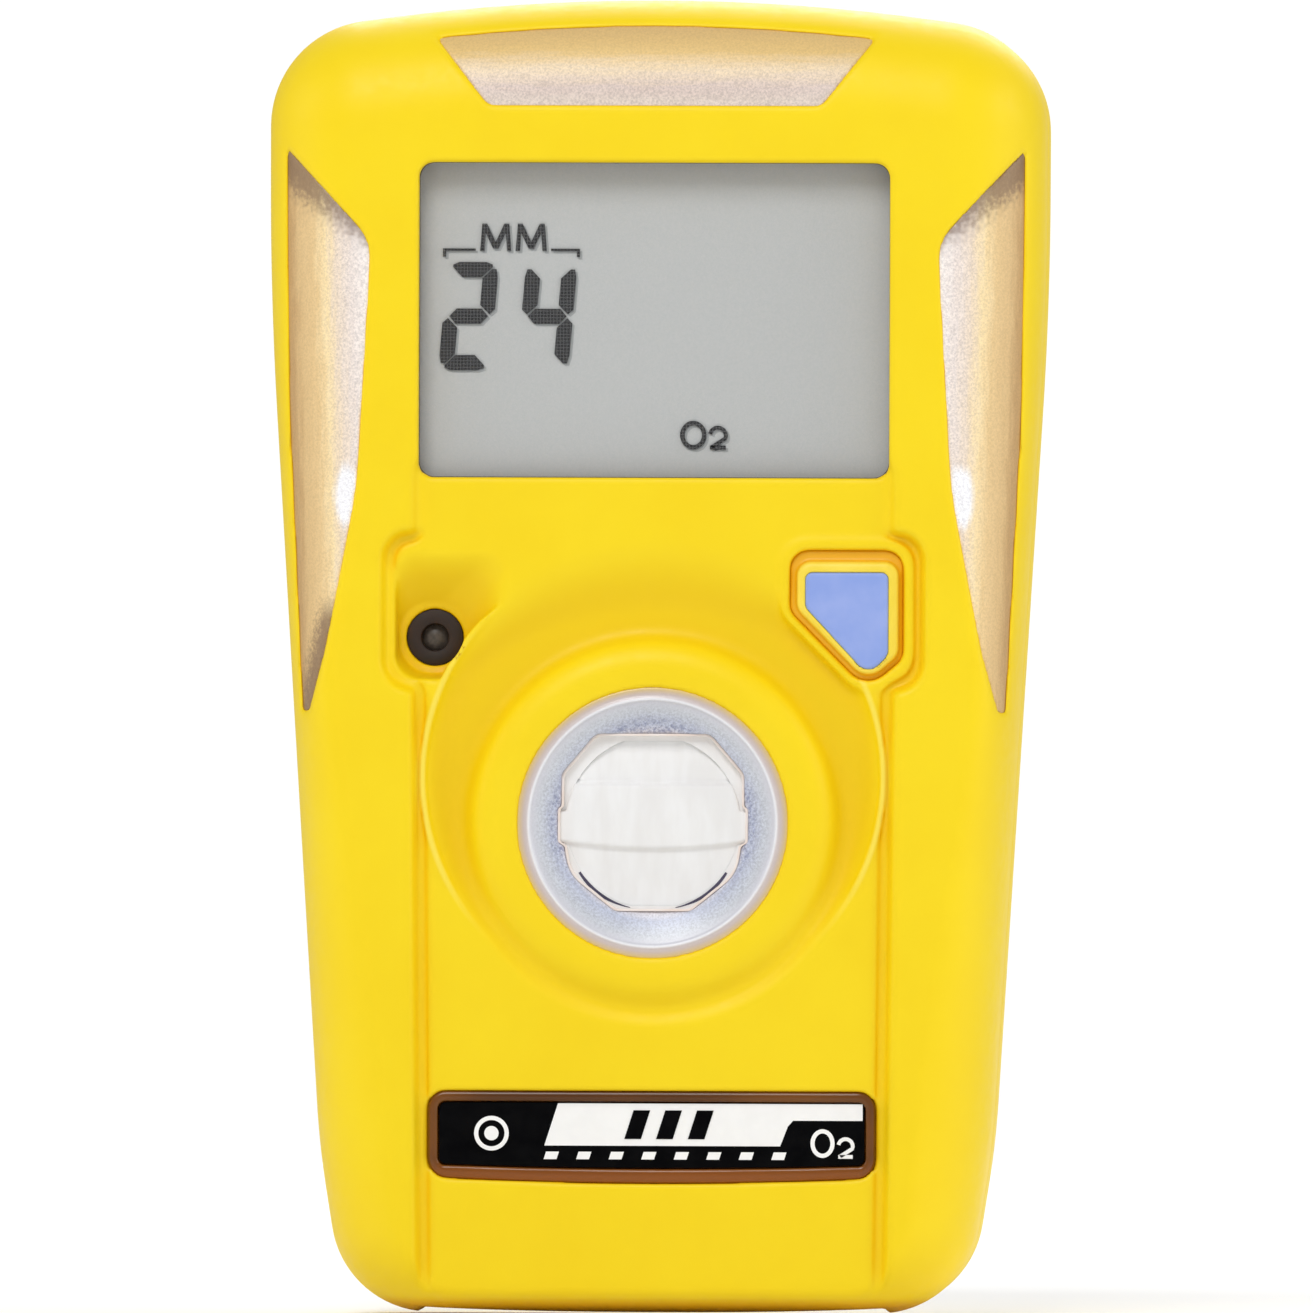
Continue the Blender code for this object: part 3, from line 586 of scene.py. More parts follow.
def srgb(red, green, blue):
    """Linear colour from 8-bit sRGB."""
    def linear(value):
        value /= 255
        return value / 12.92 if value <= 0.04045 else ((value + 0.055) / 1.055) ** 2.4
    return tuple(linear(value) for value in (red, green, blue))


def plain(name, slot, low, high, size=1.5, roughness=(0.35, 0.5), relief=0.004, **sockets):
    """A moulded, cast or printed finish: two near tones mottled together, with a fine grain."""
    made = Finish(name, **sockets)
    tone = made.noise(size)
    made.colour(made.mottled(tone, low, high))
    made.rough(tone, *roughness)
    made.bump(made.noise(0.12, 2), relief)
    return made.material, slot


def yellow_plastic():
    made = Finish("yellow_plastic", Specular_IOR_Level=0.3)
    tone = made.mottled(made.noise(9), srgb(247, 214, 8), srgb(249, 218, 14))
    # Painted shade: a deeper golden colour in the bowl round the sensor and in the sounder's pocket, where
    # these recesses lie in shade
    x, deep, z = made.axes()
    sunk = made.span(deep, FRONT_Y + 0.75, FRONT_Y + 1.75)
    near_front = made.span(deep, FRONT_Y + 5, FRONT_Y + 4)
    middle = made.times(made.span(made.size(x), 17.7, 17.2), made.span(z, 12, 20))
    low = made.times(middle, made.span(z, 52, 50.5))
    tone = made.mix(made.times(made.times(sunk, near_front), low), tone, srgb(241, 204, 0))
    # Painted highlight: a pale line along the bowl's rim bead, where it catches the light, least at its
    # sides.
    up = made.minus(z, float(BOWL[1]))
    off = made.size(made.minus(made.radius(x, up), BOWL_RIM + 0.05))
    rim = made.times(made.span(off, 0.28, 0.05), made.span(made.size(up), 11, 5))
    tone = made.mix(made.times(made.times(rim, near_front), 0.42), tone, srgb(255, 240, 120))
    # Painted shade: a golden tone in grooves and creases, where less light reaches
    tone = made.crevice_shade(tone, srgb(238, 180, 0), 1.6, 0.3, 0.95)
    made.colour(tone)
    made.rough(made.noise(0.8), 0.42, 0.52)
    made.bump(made.noise(0.14, 2), 0.0035)
    return made.material, "yellow_shell"


def button_rubber():
    """Paler than the shell, with painted shade: amber deeper in, in the groove."""
    made = Finish("button_rim_yellow", roughness=0.45)
    _, deep, _ = made.axes()
    tone = made.mottled(made.noise(3), srgb(246, 216, 58), srgb(250, 222, 74))
    # Painted shade: the rubber turns amber with depth, for the groove's shadow round the pad
    made.colour(made.mix(made.span(deep, FRONT_Y + 0.5, FRONT_Y + 0.95), tone, srgb(238, 178, 0)))
    made.bump(made.noise(0.14, 2), 0.003)
    return made.material, "rubber"


def frosting(made, colour, strength=1.0):
    """The fine sparkle of a spark-eroded mould: light and dark flecks with relief."""
    fleck = made.noise(0.15, 4, roughness=0.7)
    light = made.ramp(fleck, [(0.36, (0.8, 0.79, 0.8)), (0.62, (1.16, 1.16, 1.16))])
    made.bump(fleck, 0.012)
    return made.mix(strength, colour, made.mix(1.0, light, colour, "MULTIPLY"))


def side_window_plastic():
    """Frosted plastic over a diffuser: caramel at its outer side, pink-white inside, with drawn grain."""
    made = Finish("side_window_plastic", roughness=0.4, Specular_IOR_Level=0.5)
    x, _, z = made.axes()
    across = made.size(x)
    outer = made.scaled(z, 0.0325, 21.87)
    inward = made.minus(outer, across)
    grain = made.noise(0.55, 5, (1.5, 1, 0.16), 0.65)
    drift = made.scaled(grain, 1.3, -0.65)
    colour = made.ramp(made.math("DIVIDE", made.plus(inward, drift), 5.5), [
        (0.0, srgb(196, 158, 104)), (0.1, srgb(218, 184, 128)), (0.28, srgb(228, 196, 140)),
        (0.42, srgb(246, 222, 172)), (0.56, srgb(236, 218, 196)), (0.74, srgb(236, 224, 216)),
        (1.0, srgb(250, 244, 240))])
    # The lamp's bright spot, seen through the frosting
    spot = made.node("ShaderNodeCombineXYZ", {0: across, 1: 0.0, 2: made.times(z, 0.42)})
    away = made.node("ShaderNodeVectorMath", {0: spot.outputs[0], 1: (20.25, 0, 22.7)}, operation="DISTANCE")
    near = made.plus(away.outputs["Value"], made.scaled(grain, 0.8, -0.4))
    colour = made.mix(made.span(near, 1.1, 0.6), colour, (0.95, 0.95, 0.97))
    # Shade under the overmould's upper diagonal and at the lower tip
    diagonal = made.scaled(across, -1.04, made.plus(z, -51.5))
    speck = made.scaled(made.noise(0.3, 5, roughness=0.7), 4.4, -2.2)
    reach = made.scaled(across, 0.36, -6.5)
    dark_top = made.span(made.plus(made.plus(diagonal, speck), reach), -1.2, 1.0)
    inner_edge = made.plus(across, made.scaled(z, 0.23, -32.09))
    beside = made.span(made.plus(inner_edge, made.times(speck, 0.35)), 1.2, 0.1)
    left = made.times(beside, made.span(x, 1, -1))
    dark_tip = made.times(left, made.span(z, 48, 45.5))
    dark = made.math("MAXIMUM", dark_top, dark_tip)
    colour = made.mix(made.times(dark, 0.75), colour, srgb(112, 84, 66))
    made.colour(frosting(made, colour, made.span(inward, 1.0, 3.6, 0.45, 1.0)))
    return made.material, "frosted_window"


def top_window_plastic():
    made = Finish("top_window_plastic", roughness=0.4, Specular_IOR_Level=0.5)
    _, _, z = made.axes()
    grain = made.noise(0.5, 5, (0.14, 1, 1.6), 0.65)
    level = made.scaled(grain, 1.4, -0.7)
    colour = made.ramp(made.math("DIVIDE", made.minus(made.plus(z, level), 80), 5.0), [
        (0.0, srgb(222, 208, 196)), (0.22, srgb(214, 196, 186)), (0.45, srgb(228, 206, 172)),
        (0.7, srgb(224, 190, 122)), (1.0, srgb(214, 180, 120))])
    made.colour(frosting(made, colour, made.span(z, 84, 81.5, 0.4, 1.0)))
    return made.material, "frosted_window"


def display_reflector():
    """The liquid crystal's grey reflector."""
    made = Finish("display_reflector", roughness=0.45)
    made.colour(made.mottled(made.noise(0.12, 3), srgb(193, 196, 195), srgb(199, 200, 199), 0.35, 0.65))
    return made.material, "display_cell"


def display_ink():
    """Dark grey segments with the cell's fine grid."""
    made = Finish("display_ink", roughness=0.4, Specular_IOR_Level=0.2)
    x, _, z = made.axes()
    lines = made.math("MAXIMUM", made.math("PINGPONG", x, 0.11), made.math("PINGPONG", z, 0.11))
    made.colour(made.mix(made.span(lines, 0.07, 0.11), srgb(38, 38, 39), srgb(98, 98, 99)))
    return made.material, "display_cell"


def clear_plastic():
    made = Finish("clear_plastic", roughness=0.08, Alpha=0.04)
    made.colour(made.mottled(made.noise(6), (0.2, 0.21, 0.22), (0.184, 0.1932, 0.2024)))
    return made.material, "clear_window"


def frosted_ring():
    """Clear plastic with a satin face, milky where it is thick, with a painted highlight on its lip and
    painted blue-grey shade by the opening.
    """
    made = Finish("frosted_ring", roughness=0.28, Specular_IOR_Level=0.6)
    x, _, z = made.axes()
    up = made.minus(z, float(SENSOR[1]))
    out = made.radius(x, up)
    fleck = made.noise(0.22, 5, (1, 1, 1), 0.7)
    # Tones out from the opening; the pale stop at 8.2 mm is a painted highlight along the lip
    tone = made.ramp(made.math("DIVIDE", made.minus(out, 5.4), 3.5), [
        (0.0, srgb(226, 220, 220)), (0.2, srgb(214, 212, 220)), (0.32, srgb(188, 194, 212)),
        (0.6, srgb(199, 203, 211)), (0.76, srgb(208, 208, 216)), (0.8, srgb(240, 240, 244)),
        (0.84, srgb(208, 198, 200)), (0.9, srgb(203, 187, 180)), (0.96, srgb(210, 186, 146)),
        (1.0, srgb(222, 195, 124))])
    # Painted shade: blue-grey patches by the opening, at its sides and top
    by_opening = made.times(made.span(out, 7.4, 6.4), made.span(fleck, 0.42, 0.62))
    sides = made.span(made.size(up), 5.0, 1.5)
    crown = made.times(made.span(up, 5.6, 6.2), made.span(made.size(x), 4.2, 2.0))
    opening_shade = made.times(by_opening, made.math("MAXIMUM", sides, crown))
    tone = made.mix(made.times(opening_shade, 0.85), tone, srgb(128, 134, 166))
    made.colour(frosting(made, tone, made.span(out, 8.15, 7.2, 0.1, 1.0)))
    return made.material, "clear_ring"


def white_membrane():
    made = Finish("white_membrane", roughness=0.6)
    streak = made.noise(1.6, 3, (1.2, 1, 0.3))
    made.colour(made.mottled(streak, srgb(234, 233, 232), srgb(241, 241, 241)))
    made.bump(made.noise(0.1, 3), 0.002)
    return made.material, "membrane"


def smoky_frame():
    """Dark red-brown plastic that passes infrared light."""
    made = Finish("smoky_frame", roughness=0.22, Specular_IOR_Level=0.35, Coat_Weight=0.1)
    streak = made.noise(7, 2, (0.5, 1, 1), 0.4)
    # Painted highlight: the frame turns lighter along its lower edge
    lower_highlight = made.span(made.axes()[2], 10.5, 8.8)
    tone = made.mottled(streak, srgb(84, 46, 8), srgb(116, 68, 18), 0.36, 0.62)
    made.colour(made.mix(lower_highlight, tone, srgb(140, 76, 14)))
    return made.material, "infrared_plastic"


def brushed_steel(name, slot, along, low=(0.46, 0.46, 0.47), high=(0.62, 0.62, 0.63)):
    """Rolled or turned steel with fine lines. along is how much the lines are drawn out on each axis."""
    made = Finish(name, Metallic=1.0)
    lines = made.noise(0.12, 4, along)
    made.colour(made.mottled(lines, low, high))
    made.rough(made.noise(1.2), 0.24, 0.42)
    made.bump(lines, 0.0015)
    return made.material, slot


def circuit_green():
    made = Finish("circuit_green", roughness=0.35, Specular_IOR_Level=0.6)
    tracks = made.node("ShaderNodeTexBrick", {
        "Vector": made.place, "Color1": (0.01, 0.12, 0.04, 1), "Color2": (0.012, 0.16, 0.05, 1),
        "Mortar": (0.02, 0.25, 0.09, 1), "Scale": 600.0, "Mortar Size": 0.03})
    made.colour(tracks.outputs["Color"])
    return made.material, "board"


YELLOW = yellow_plastic()
BUTTON_YELLOW = button_rubber()
SIDE_WINDOW = side_window_plastic()
CROWN_WINDOW = top_window_plastic()
REFLECTOR = display_reflector()
INK = display_ink()
SHADE = plain("display_shade", "display_cell", srgb(160, 163, 163), srgb(164, 167, 167),
              roughness=(0.5, 0.55))
CLEAR = clear_plastic()
GUIDE = plain("light_guide_plastic", "light_guide", (0.7, 0.72, 0.72), (0.82, 0.84, 0.84))
BLACK = plain("black_plastic_matt", "black_plastic", (0.012, 0.012, 0.013), (0.025, 0.025, 0.026))
SLOT_DARK = plain("slot_shade", "black_plastic", srgb(62, 58, 82), srgb(74, 70, 94))
GROMMET = plain("grommet_rubber", "rubber", srgb(30, 18, 12), srgb(44, 27, 18), roughness=(0.6, 0.7))
MESH_GREY = plain("sounder_mesh_grey", "membrane", srgb(66, 58, 50), srgb(88, 78, 68), size=0.3)
RUBBER = plain("soft_rubber", "rubber", (0.022, 0.017, 0.014), (0.04, 0.03, 0.024), roughness=(0.55, 0.7))
BOARD = circuit_green()
LAMP = plain("lamp_epoxy", "lamp", (0.75, 0.74, 0.66), (0.85, 0.84, 0.78), roughness=(0.15, 0.25))
STEEL = brushed_steel("clip_steel", "bare_steel", (1, 1, 0.08))
TURNED_STEEL = brushed_steel("turned_steel", "bare_steel", (1, 1, 1))
CELL_JACKET = plain("cell_sleeve", "cell_jacket", (0.02, 0.09, 0.3), (0.03, 0.12, 0.36), roughness=(0.2, 0.3))
SENSOR_CASE = plain("sensor_casing", "sensor_case", (0.5, 0.5, 0.49), (0.62, 0.62, 0.6))
MEMBRANE = white_membrane()
RING = frosted_ring()
EDGE_SHADE = plain("display_edge_shade", "black_plastic", srgb(84, 84, 74), srgb(96, 96, 84), roughness=(0.6, 0.7))
PEACH = plain("port_bead_plastic", "clear_ring", srgb(234, 218, 208), srgb(240, 230, 224), size=2.0)
BLUE = plain("blue_face_print", "blue_face", srgb(138, 162, 228), srgb(152, 172, 232), size=2.5,
             roughness=(0.45, 0.55))
SMOKY = smoky_frame()
LABEL_BLACK = plain("label_black", "label_film", (0.001, 0.001, 0.0015), (0.003, 0.003, 0.0035),
                    roughness=(0.16, 0.22), relief=0.001, Specular_IOR_Level=0.04)
LABEL_WHITE = plain("label_white", "label_film", (0.93, 0.93, 0.93), (0.96, 0.96, 0.96),
                    roughness=(0.2, 0.26), relief=0.001)
PAPER = plain("label_paper", "blank_label", (0.72, 0.72, 0.7), (0.8, 0.8, 0.78), relief=0.002)
PRINT = plain("label_print", "blank_label", (0.05, 0.05, 0.055), (0.1, 0.1, 0.105), relief=0.001)


# -------- mouldings


def foot_arch(grid):
    """The panel's lower edge is a shallow arch between the two rails' tips."""
    return np.maximum(grid.z - 0.4 * (grid.x / 15.4) ** 2, np.abs(grid.x) - 15.45)


def front_walls(grid):
    """The bare shell, thicker round the sensor and behind the pockets, with its screw posts."""
    form = front_form(grid)
    shell = smooth_max(form, grid.d - FRONT_RIM, 0.3)
    shell = cut(shell, form + WALL, 0.6)
    under_bowl = grid.disc(SENSOR, 16.2, 1.2, 3.8)
    sensor_tube = grid.disc(SENSOR, 10.9, 3, 6.5)
    behind_pocket = grid.between(grid.block((-18.4, 41.2), (-9.5, 51.5), 1), 1.4, 4.2)
    for backing in (under_bowl, sensor_tube, behind_pocket):
        shell = join(shell, backing, 0.4)
    for place in SCREWS:
        shell = join(shell, grid.disc(place, SCREW_POST, 3.7, FRONT_RIM - 0.2), 0.4)
        shell = cut(shell, grid.disc(place, SCREW_PILOT, 7.5, 16), 0.2)
    return shell


def sunken_panel(grid, shell):
    """The middle of the front lies a little lower, between two rails with a groove along each."""
    draft, rail_top = 0.35, 51.8
    panel = grid.outline(PANEL) + draft * grid.d
    shell = cut(shell, smooth_max(panel, grid.d - PANEL_DEPTH, 0.5), 0.5)
    groove = smooth_max(np.abs(panel + 0.15) - 0.3, grid.d - PANEL_DEPTH - 0.3, 0.25)
    shell = cut(shell, smooth_max(groove, grid.z - rail_top, 0.5), 0.3)
    return cut(shell, foot_arch(grid), 0.15)


def bowl_and_boss(grid, shell, bowl):
    """The bowl round the sensor, the collar round the button and the domed boss that holds the sensor."""
    out = grid.radius(SENSOR)
    # The bowl runs out level with the panel at its foot, and its side leans more towards the top.
    floor = PANEL_DEPTH + 0.4 + 0.8 * smoothstep(grid.z, 15, 36)
    trench = out - BOSS - 0.9
    crown = smoothstep(grid.z, 42, 50)
    lean, steepness = 1.0 + 2.2 * crown, 0.7 - 0.35 * crown
    cone = (np.minimum(bowl, trench) + lean * (grid.d - PANEL_DEPTH)) * steepness
    shell = cut(shell, smooth_max(cone, grid.d - floor, 0.8), 0.25)
    collar = smooth_max(grid.outline(BUTTON_HOLE) - 0.6, grid.slab(PANEL_DEPTH, 3.5), 0.3)
    shell = join(shell, collar, 0.6)
    crest_radius, crest_depth = 10.3, 0.1
    crest = crest_depth + 0.07 * (out - crest_radius) ** 2
    boss = np.maximum(smooth_max(out - BOSS, crest - grid.d, 2.2), grid.d - 3)
    return join(shell, boss, 0.8)


def sounder_pocket(grid, shell, bowl):
    """A pocket that leans in from the top and from the right, and the bead along the bowl's rim, which the
    yellow finish gives a painted highlight.
    """
    sink = np.clip((grid.d - 0.6) / 2.1, 0, 1)
    pocket = grid.block((-17.1 + 0.2 * sink, 41.9 + 0.4 * sink), (-9.8 - 2.6 * sink, 50.3 - 3.3 * sink),
                        1.3 + 0.9 * sink)
    pocket = np.maximum(grid.between(pocket, -2, 2.7) * 0.75, 0.15 - bowl)
    shell = cut(shell, pocket, 0.25)
    bead_radius = 0.24
    bead = np.hypot(bowl - 0.05, grid.d - PANEL_DEPTH - 0.12) - bead_radius
    return join(shell, smooth_max(bead, np.abs(grid.z - 37) - 10, 1.5), 0.2)


def front_moulding():
    grid = Grid((-26.6, 26.6), (-0.8, FRONT_RIM + 0.9), (-0.9, HEIGHT + 0.9), near=4.2, coarse=1.7 * CELL)
    bowl = grid.radius(BOWL) - BOWL_RIM
    shell = sunken_panel(grid, front_walls(grid))
    shell = bowl_and_boss(grid, shell, bowl)
    shell = cut(shell, grid.disc(SENSOR, PORT, -2, 9), 0.12)
    opening = grid.block((-DISPLAY_X, DISPLAY_Z[0]), (DISPLAY_X, DISPLAY_Z[1]), 0.95)
    shell = cut(shell, grid.between(opening, -2, 4), 0.3)
    display_seat = grid.block((-17.4, 53.6), (17.4, 77.9))
    shell = cut(shell, grid.between(display_seat, 1.12, 4), 0.05)
    for outline in (TOP_WINDOW, RIGHT_WINDOW, flipped(RIGHT_WINDOW)):
        shell = cut(shell, grid.between(grid.outline(outline), -2, 9.8), 0.36)
    shell = sounder_pocket(grid, shell, bowl)
    shell = cut(shell, grid.disc(BUZZER, BUZZER_HOLE, -2, 9), 0.2)
    for outline, rounding in ((BUTTON_HOLE, 0.35), (LABEL_FRAME, 0.15)):
        shell = cut(shell, grid.between(grid.outline(outline), -2, 5), rounding)
    moulded("front_moulding", "front_shell", grid, shell, YELLOW)


def rear_moulding():
    post, screw_head = 3.0, 2.5
    grid = Grid((-26.6, 26.6), (REAR_RIM - 1, BODY_DEPTH + 0.9), (-0.9, HEIGHT + 0.9), 1.5 * CELL)
    form = rear_form(grid)
    shell = smooth_max(form, REAR_RIM - grid.d, 0.3)
    shell = cut(shell, form + WALL, 0.6)
    for place in SCREWS:
        shell = join(shell, grid.disc(place, post, REAR_RIM + 0.2, BODY_DEPTH - 1.8), 0.4)
        shell = cut(shell, grid.disc(place, SCREW_PILOT, 14, 28), 0.2)
        shell = cut(shell, grid.disc(place, screw_head, 22, 28), 0.4)
    for height in CLIP_SCREWS:
        shell = join(shell, grid.disc((0, height), SCREW_POST, 20.4, BODY_DEPTH - 1), 0.4)
        shell = cut(shell, grid.disc((0, height), SCREW_PILOT, 21, 28), 0.2)
    shell = cut(shell, foot_arch(grid), 0.15)
    label = grid.block((-14.3, 8.7), (14.3, 20.3), 1.3)
    shell = cut(shell, grid.between(label, 25.8, 28), 0.3)
    moulded("rear_moulding", "rear_shell", grid, shell, YELLOW, 110000)


def shell_seal():
    """The rubber cord squeezed between the two mouldings all round."""
    grid = Grid((-26.2, 26.2), (FRONT_RIM - 0.4, REAR_RIM + 0.4), (-0.5, HEIGHT + 0.5), 0.9 * CELL)
    middle, half_width = 1.15, 0.7
    width = np.abs(-grid.outline(BODY) - middle) - half_width
    band = smooth_max(width, grid.slab(FRONT_RIM - 0.02, REAR_RIM + 0.02), 0.3)
    moulded("shell_seal", "shell_gasket", grid, band, RUBBER, 90000)


def alarm_windows():
    """Frosted windows that follow the body's form a little below the yellow overmould."""
    sunk, overlap = 0.16, 0.12
    places = (
        ("top", TOP_WINDOW, (-15.5, 15.5), (79, HEIGHT - 0.5), CROWN_WINDOW),
        ("left", flipped(RIGHT_WINDOW), (-25.2, -17.8), (38.5, 78), SIDE_WINDOW),
        ("right", RIGHT_WINDOW, (17.8, 25.2), (38.5, 78), SIDE_WINDOW),
    )
    for name, outline, x, z, finish in places:
        grid = Grid(x, (-0.2, 10), z, 0.8 * CELL)
        block = smooth_max(grid.outline(outline) - overlap, front_form(grid) + sunk, 0.1)
        block = smooth_max(block, grid.d - 9.5, 0.3)
        moulded(f"window_{name}", f"alarm_window_{name}", grid, block, finish, 60000)


def button():
    grid = Grid((8.3, 16.9), (0, 8.4), (40.7, 50.9), FINE_CELL)
    pad_front, pad_back, seat_depth, face_front, face_back = 0.35, 3.0, 0.98, 0.3, 0.92
    pad = smooth_max(grid.outline(BUTTON_PAD) - 0.06, pad_front - grid.d, 0.45)
    pad = smooth_max(pad, grid.d - pad_back, 0.3)
    # A skirt fills the groove round the pad, as the moulded web does.
    skirt = smooth_max(grid.outline(BUTTON_HOLE) - 0.01, grid.slab(1.0, 2.6), 0.1)
    pad = join(pad, skirt, 0.3)
    seat = np.maximum(grid.outline(BUTTON_FACE) - 0.04, grid.d - seat_depth)
    pad = cut(pad, seat, 0.05)
    stem = grid.disc((12.9, 46.6), 1.5, 2, 8)
    pad = join(pad, stem, 0.5)
    moulded("button_rim", "button_pad", grid, pad, BUTTON_YELLOW, 60000, "button")
    grid = Grid((9.3, 15.9), (0, 1.2), (41.7, 49.5), FINE_CELL)
    face = smooth_max(grid.outline(BUTTON_FACE) - 0.06, face_front - grid.d, 0.25)
    face = smooth_max(face, grid.d - face_back, 0.1)
    moulded("button_cap", "button_face", grid, face, BLUE, 30000, "button")


def label_window():
    grid = Grid((-15.3, 15.3), (0.4, 3.0), (8.0, 15.2), FINE_CELL)
    front, back, tray_depth = 0.72, 2.7, 1.65
    block = smooth_max(grid.outline(LABEL_FRAME) - 0.02, front - grid.d, 0.35)
    block = smooth_max(block, grid.d - back, 0.2)
    tray = np.maximum(grid.outline(LABEL_TRAY), grid.d - tray_depth)
    moulded("label_window", "infrared_window", grid, cut(block, tray, 0.2), SMOKY, 60000)


# -------- display


def slanted(points, x, z, slant=0.084):
    return [(x + px + slant * pz, z + pz) for px, pz in points]


def digit_segments(wide=3.4, tall=7.15, thick=1.0, gap=0.07):
    """The seven segments of a digit as outlines, named a to g from the top clockwise, the bar last."""
    half, mid = thick / 2, tall / 2
    nose = 0.4 * thick
    tip, end = 0.42 * thick, 0.87 * thick
    upright_top = [(0, tall - thick), (0.12 * thick, tall - nose - gap), (nose, tall - nose - gap),
                   (thick, tall - thick - gap), (thick, mid + 0.75 * thick),
                   (0.34 * thick, mid + 0.13 * thick), (0, mid + 0.45 * thick)]
    bar = [(thick * 0.8, tall), (wide - thick * 0.8, tall), (wide - nose, tall - 0.15 * thick),
           (wide - nose, tall - nose + gap), (wide - thick - gap, tall - thick),
           (thick + gap, tall - thick), (nose, tall - nose + gap), (nose, tall - 0.15 * thick)]

    def upside_down(points):
        return [(x, tall - z) for x, z in reversed(points)]

    def other_side(points):
        return [(wide - x, z) for x, z in reversed(points)]

    upright_low = upside_down(upright_top)
    return {
        "a": bar, "d": upside_down(bar),
        "f": upright_top, "b": other_side(upright_top),
        "e": upright_low, "c": other_side(upright_low),
        "g": [(tip, mid), (end, mid + half), (wide - end, mid + half),
              (wide - tip, mid), (wide - end, mid - half), (end, mid - half)],
    }


def ring(x, z, wide, tall, width, steps=36):
    """An oval ring as its outer and inner outlines."""
    outlines = []
    for rx, rz in ((wide / 2, tall / 2), (wide / 2 - width, tall / 2 - width)):
        outlines.append([(x + rx * math.cos(math.tau * i / steps), z + rz * math.sin(math.tau * i / steps))
                         for i in range(steps)])
    return outlines


def drawn_line(path, width):
    """A line of constant width along a path, as one outline."""
    left, right = [], []
    for index, (x, z) in enumerate(path):
        before, after = path[max(index - 1, 0)], path[min(index + 1, len(path) - 1)]
        along = Vector((after[0] - before[0], after[1] - before[1])).normalized() * width / 2
        left.append((x - along.y, z + along.x))
        right.append((x + along.y, z - along.x))
    return left + right[::-1]


def small_two(x, z, wide, tall, width):
    """The numeral two, drawn with a round head."""
    r = wide / 2
    head = [(x + r - r * math.cos(a), z + tall - r + r * math.sin(a)) for a in np.linspace(0.2, 3.5, 14)]
    return [drawn_line(head + [(x + width * 0.5, z + width * 0.6)], width),
            [(x, z), (x + wide, z), (x + wide, z + width), (x, z + width)]]


def display_marks():
    """All marks the display shows, in millimetres: two digits, a bracket, a unit and a gas symbol."""
    segments = digit_segments()
    marks = [slanted(segments[key], -14.35, 62.4) for key in "abged"]
    marks += [slanted(segments[key], -9.15, 62.4) for key in "fgbc"]
    letter = [(0, 0), (0.28, 0), (0.36, 1.2), (0.86, 0.15), (1.2, 0.15), (1.7, 1.2), (1.78, 0), (2.06, 0),
              (1.92, 1.8), (1.6, 1.8), (1.03, 0.6), (0.46, 1.8), (0.14, 1.8)]
    marks += [[(x + start, z + 70.3) for x, z in letter] for start in (-11.6, -9.25)]
    for end, inside, start in ((-14.05, -13.85, -11.9), (-5.0, -5.2, -6.9)):
        marks.append([(end, 69.9), (inside, 69.9), (inside, 70.3), (start, 70.3), (start, 70.45),
                      (end, 70.45)])
    groups = [[mark] for mark in marks]
    groups.append(ring(2.55, 58.15, 1.75, 1.9, 0.3))
    groups += [[outline] for outline in small_two(3.65, 57.2, 1.05, 1.45, 0.26)]
    return groups


def merged_art(name, groups, near, far, finish, shift=(0, 0)):
    """Several closed prisms as one piece."""
    pieces = []
    for index, outlines in enumerate(groups):
        moved = [[(x + shift[0], z + shift[1]) for x, z in outline] for outline in outlines]
        pieces.append(flat_art(f"{name}_{index}", moved, near, far, finish))
    mesh = bpy.data.meshes.new(name)
    with edited(mesh) as shape:
        for piece in pieces:
            shape.from_mesh(piece.data)
            bpy.data.objects.remove(piece)
    return new_piece(name, mesh, finish)


def display():
    cell_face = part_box("display_cell")[0].y / MM - FRONT_Y
    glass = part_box("display_window")[0].y / MM - FRONT_Y
    (x0, x1), (z0, z1) = (-DISPLAY_X, DISPLAY_X), DISPLAY_Z
    # Painted shade: a grey bead round the opening stands for the shadow line along its edge
    flat_art("display_bead", [rectangle(x0 - 0.2, x1 + 0.2, z0 - 0.2, z1 + 0.2, 1.0),
                              rectangle(x0 + 0.03, x1 - 0.03, z0 - 0.02, z1 - 0.03, 1.0)],
             glass - 0.07, glass - 0.02, EDGE_SHADE)
    groups = display_marks()
    merged_art("display_segments", groups, cell_face - 0.12, cell_face - 0.02, INK)
    merged_art("display_shade", groups, cell_face - 0.015, cell_face - 0.005, SHADE, (0.16, -0.16))


# -------- label


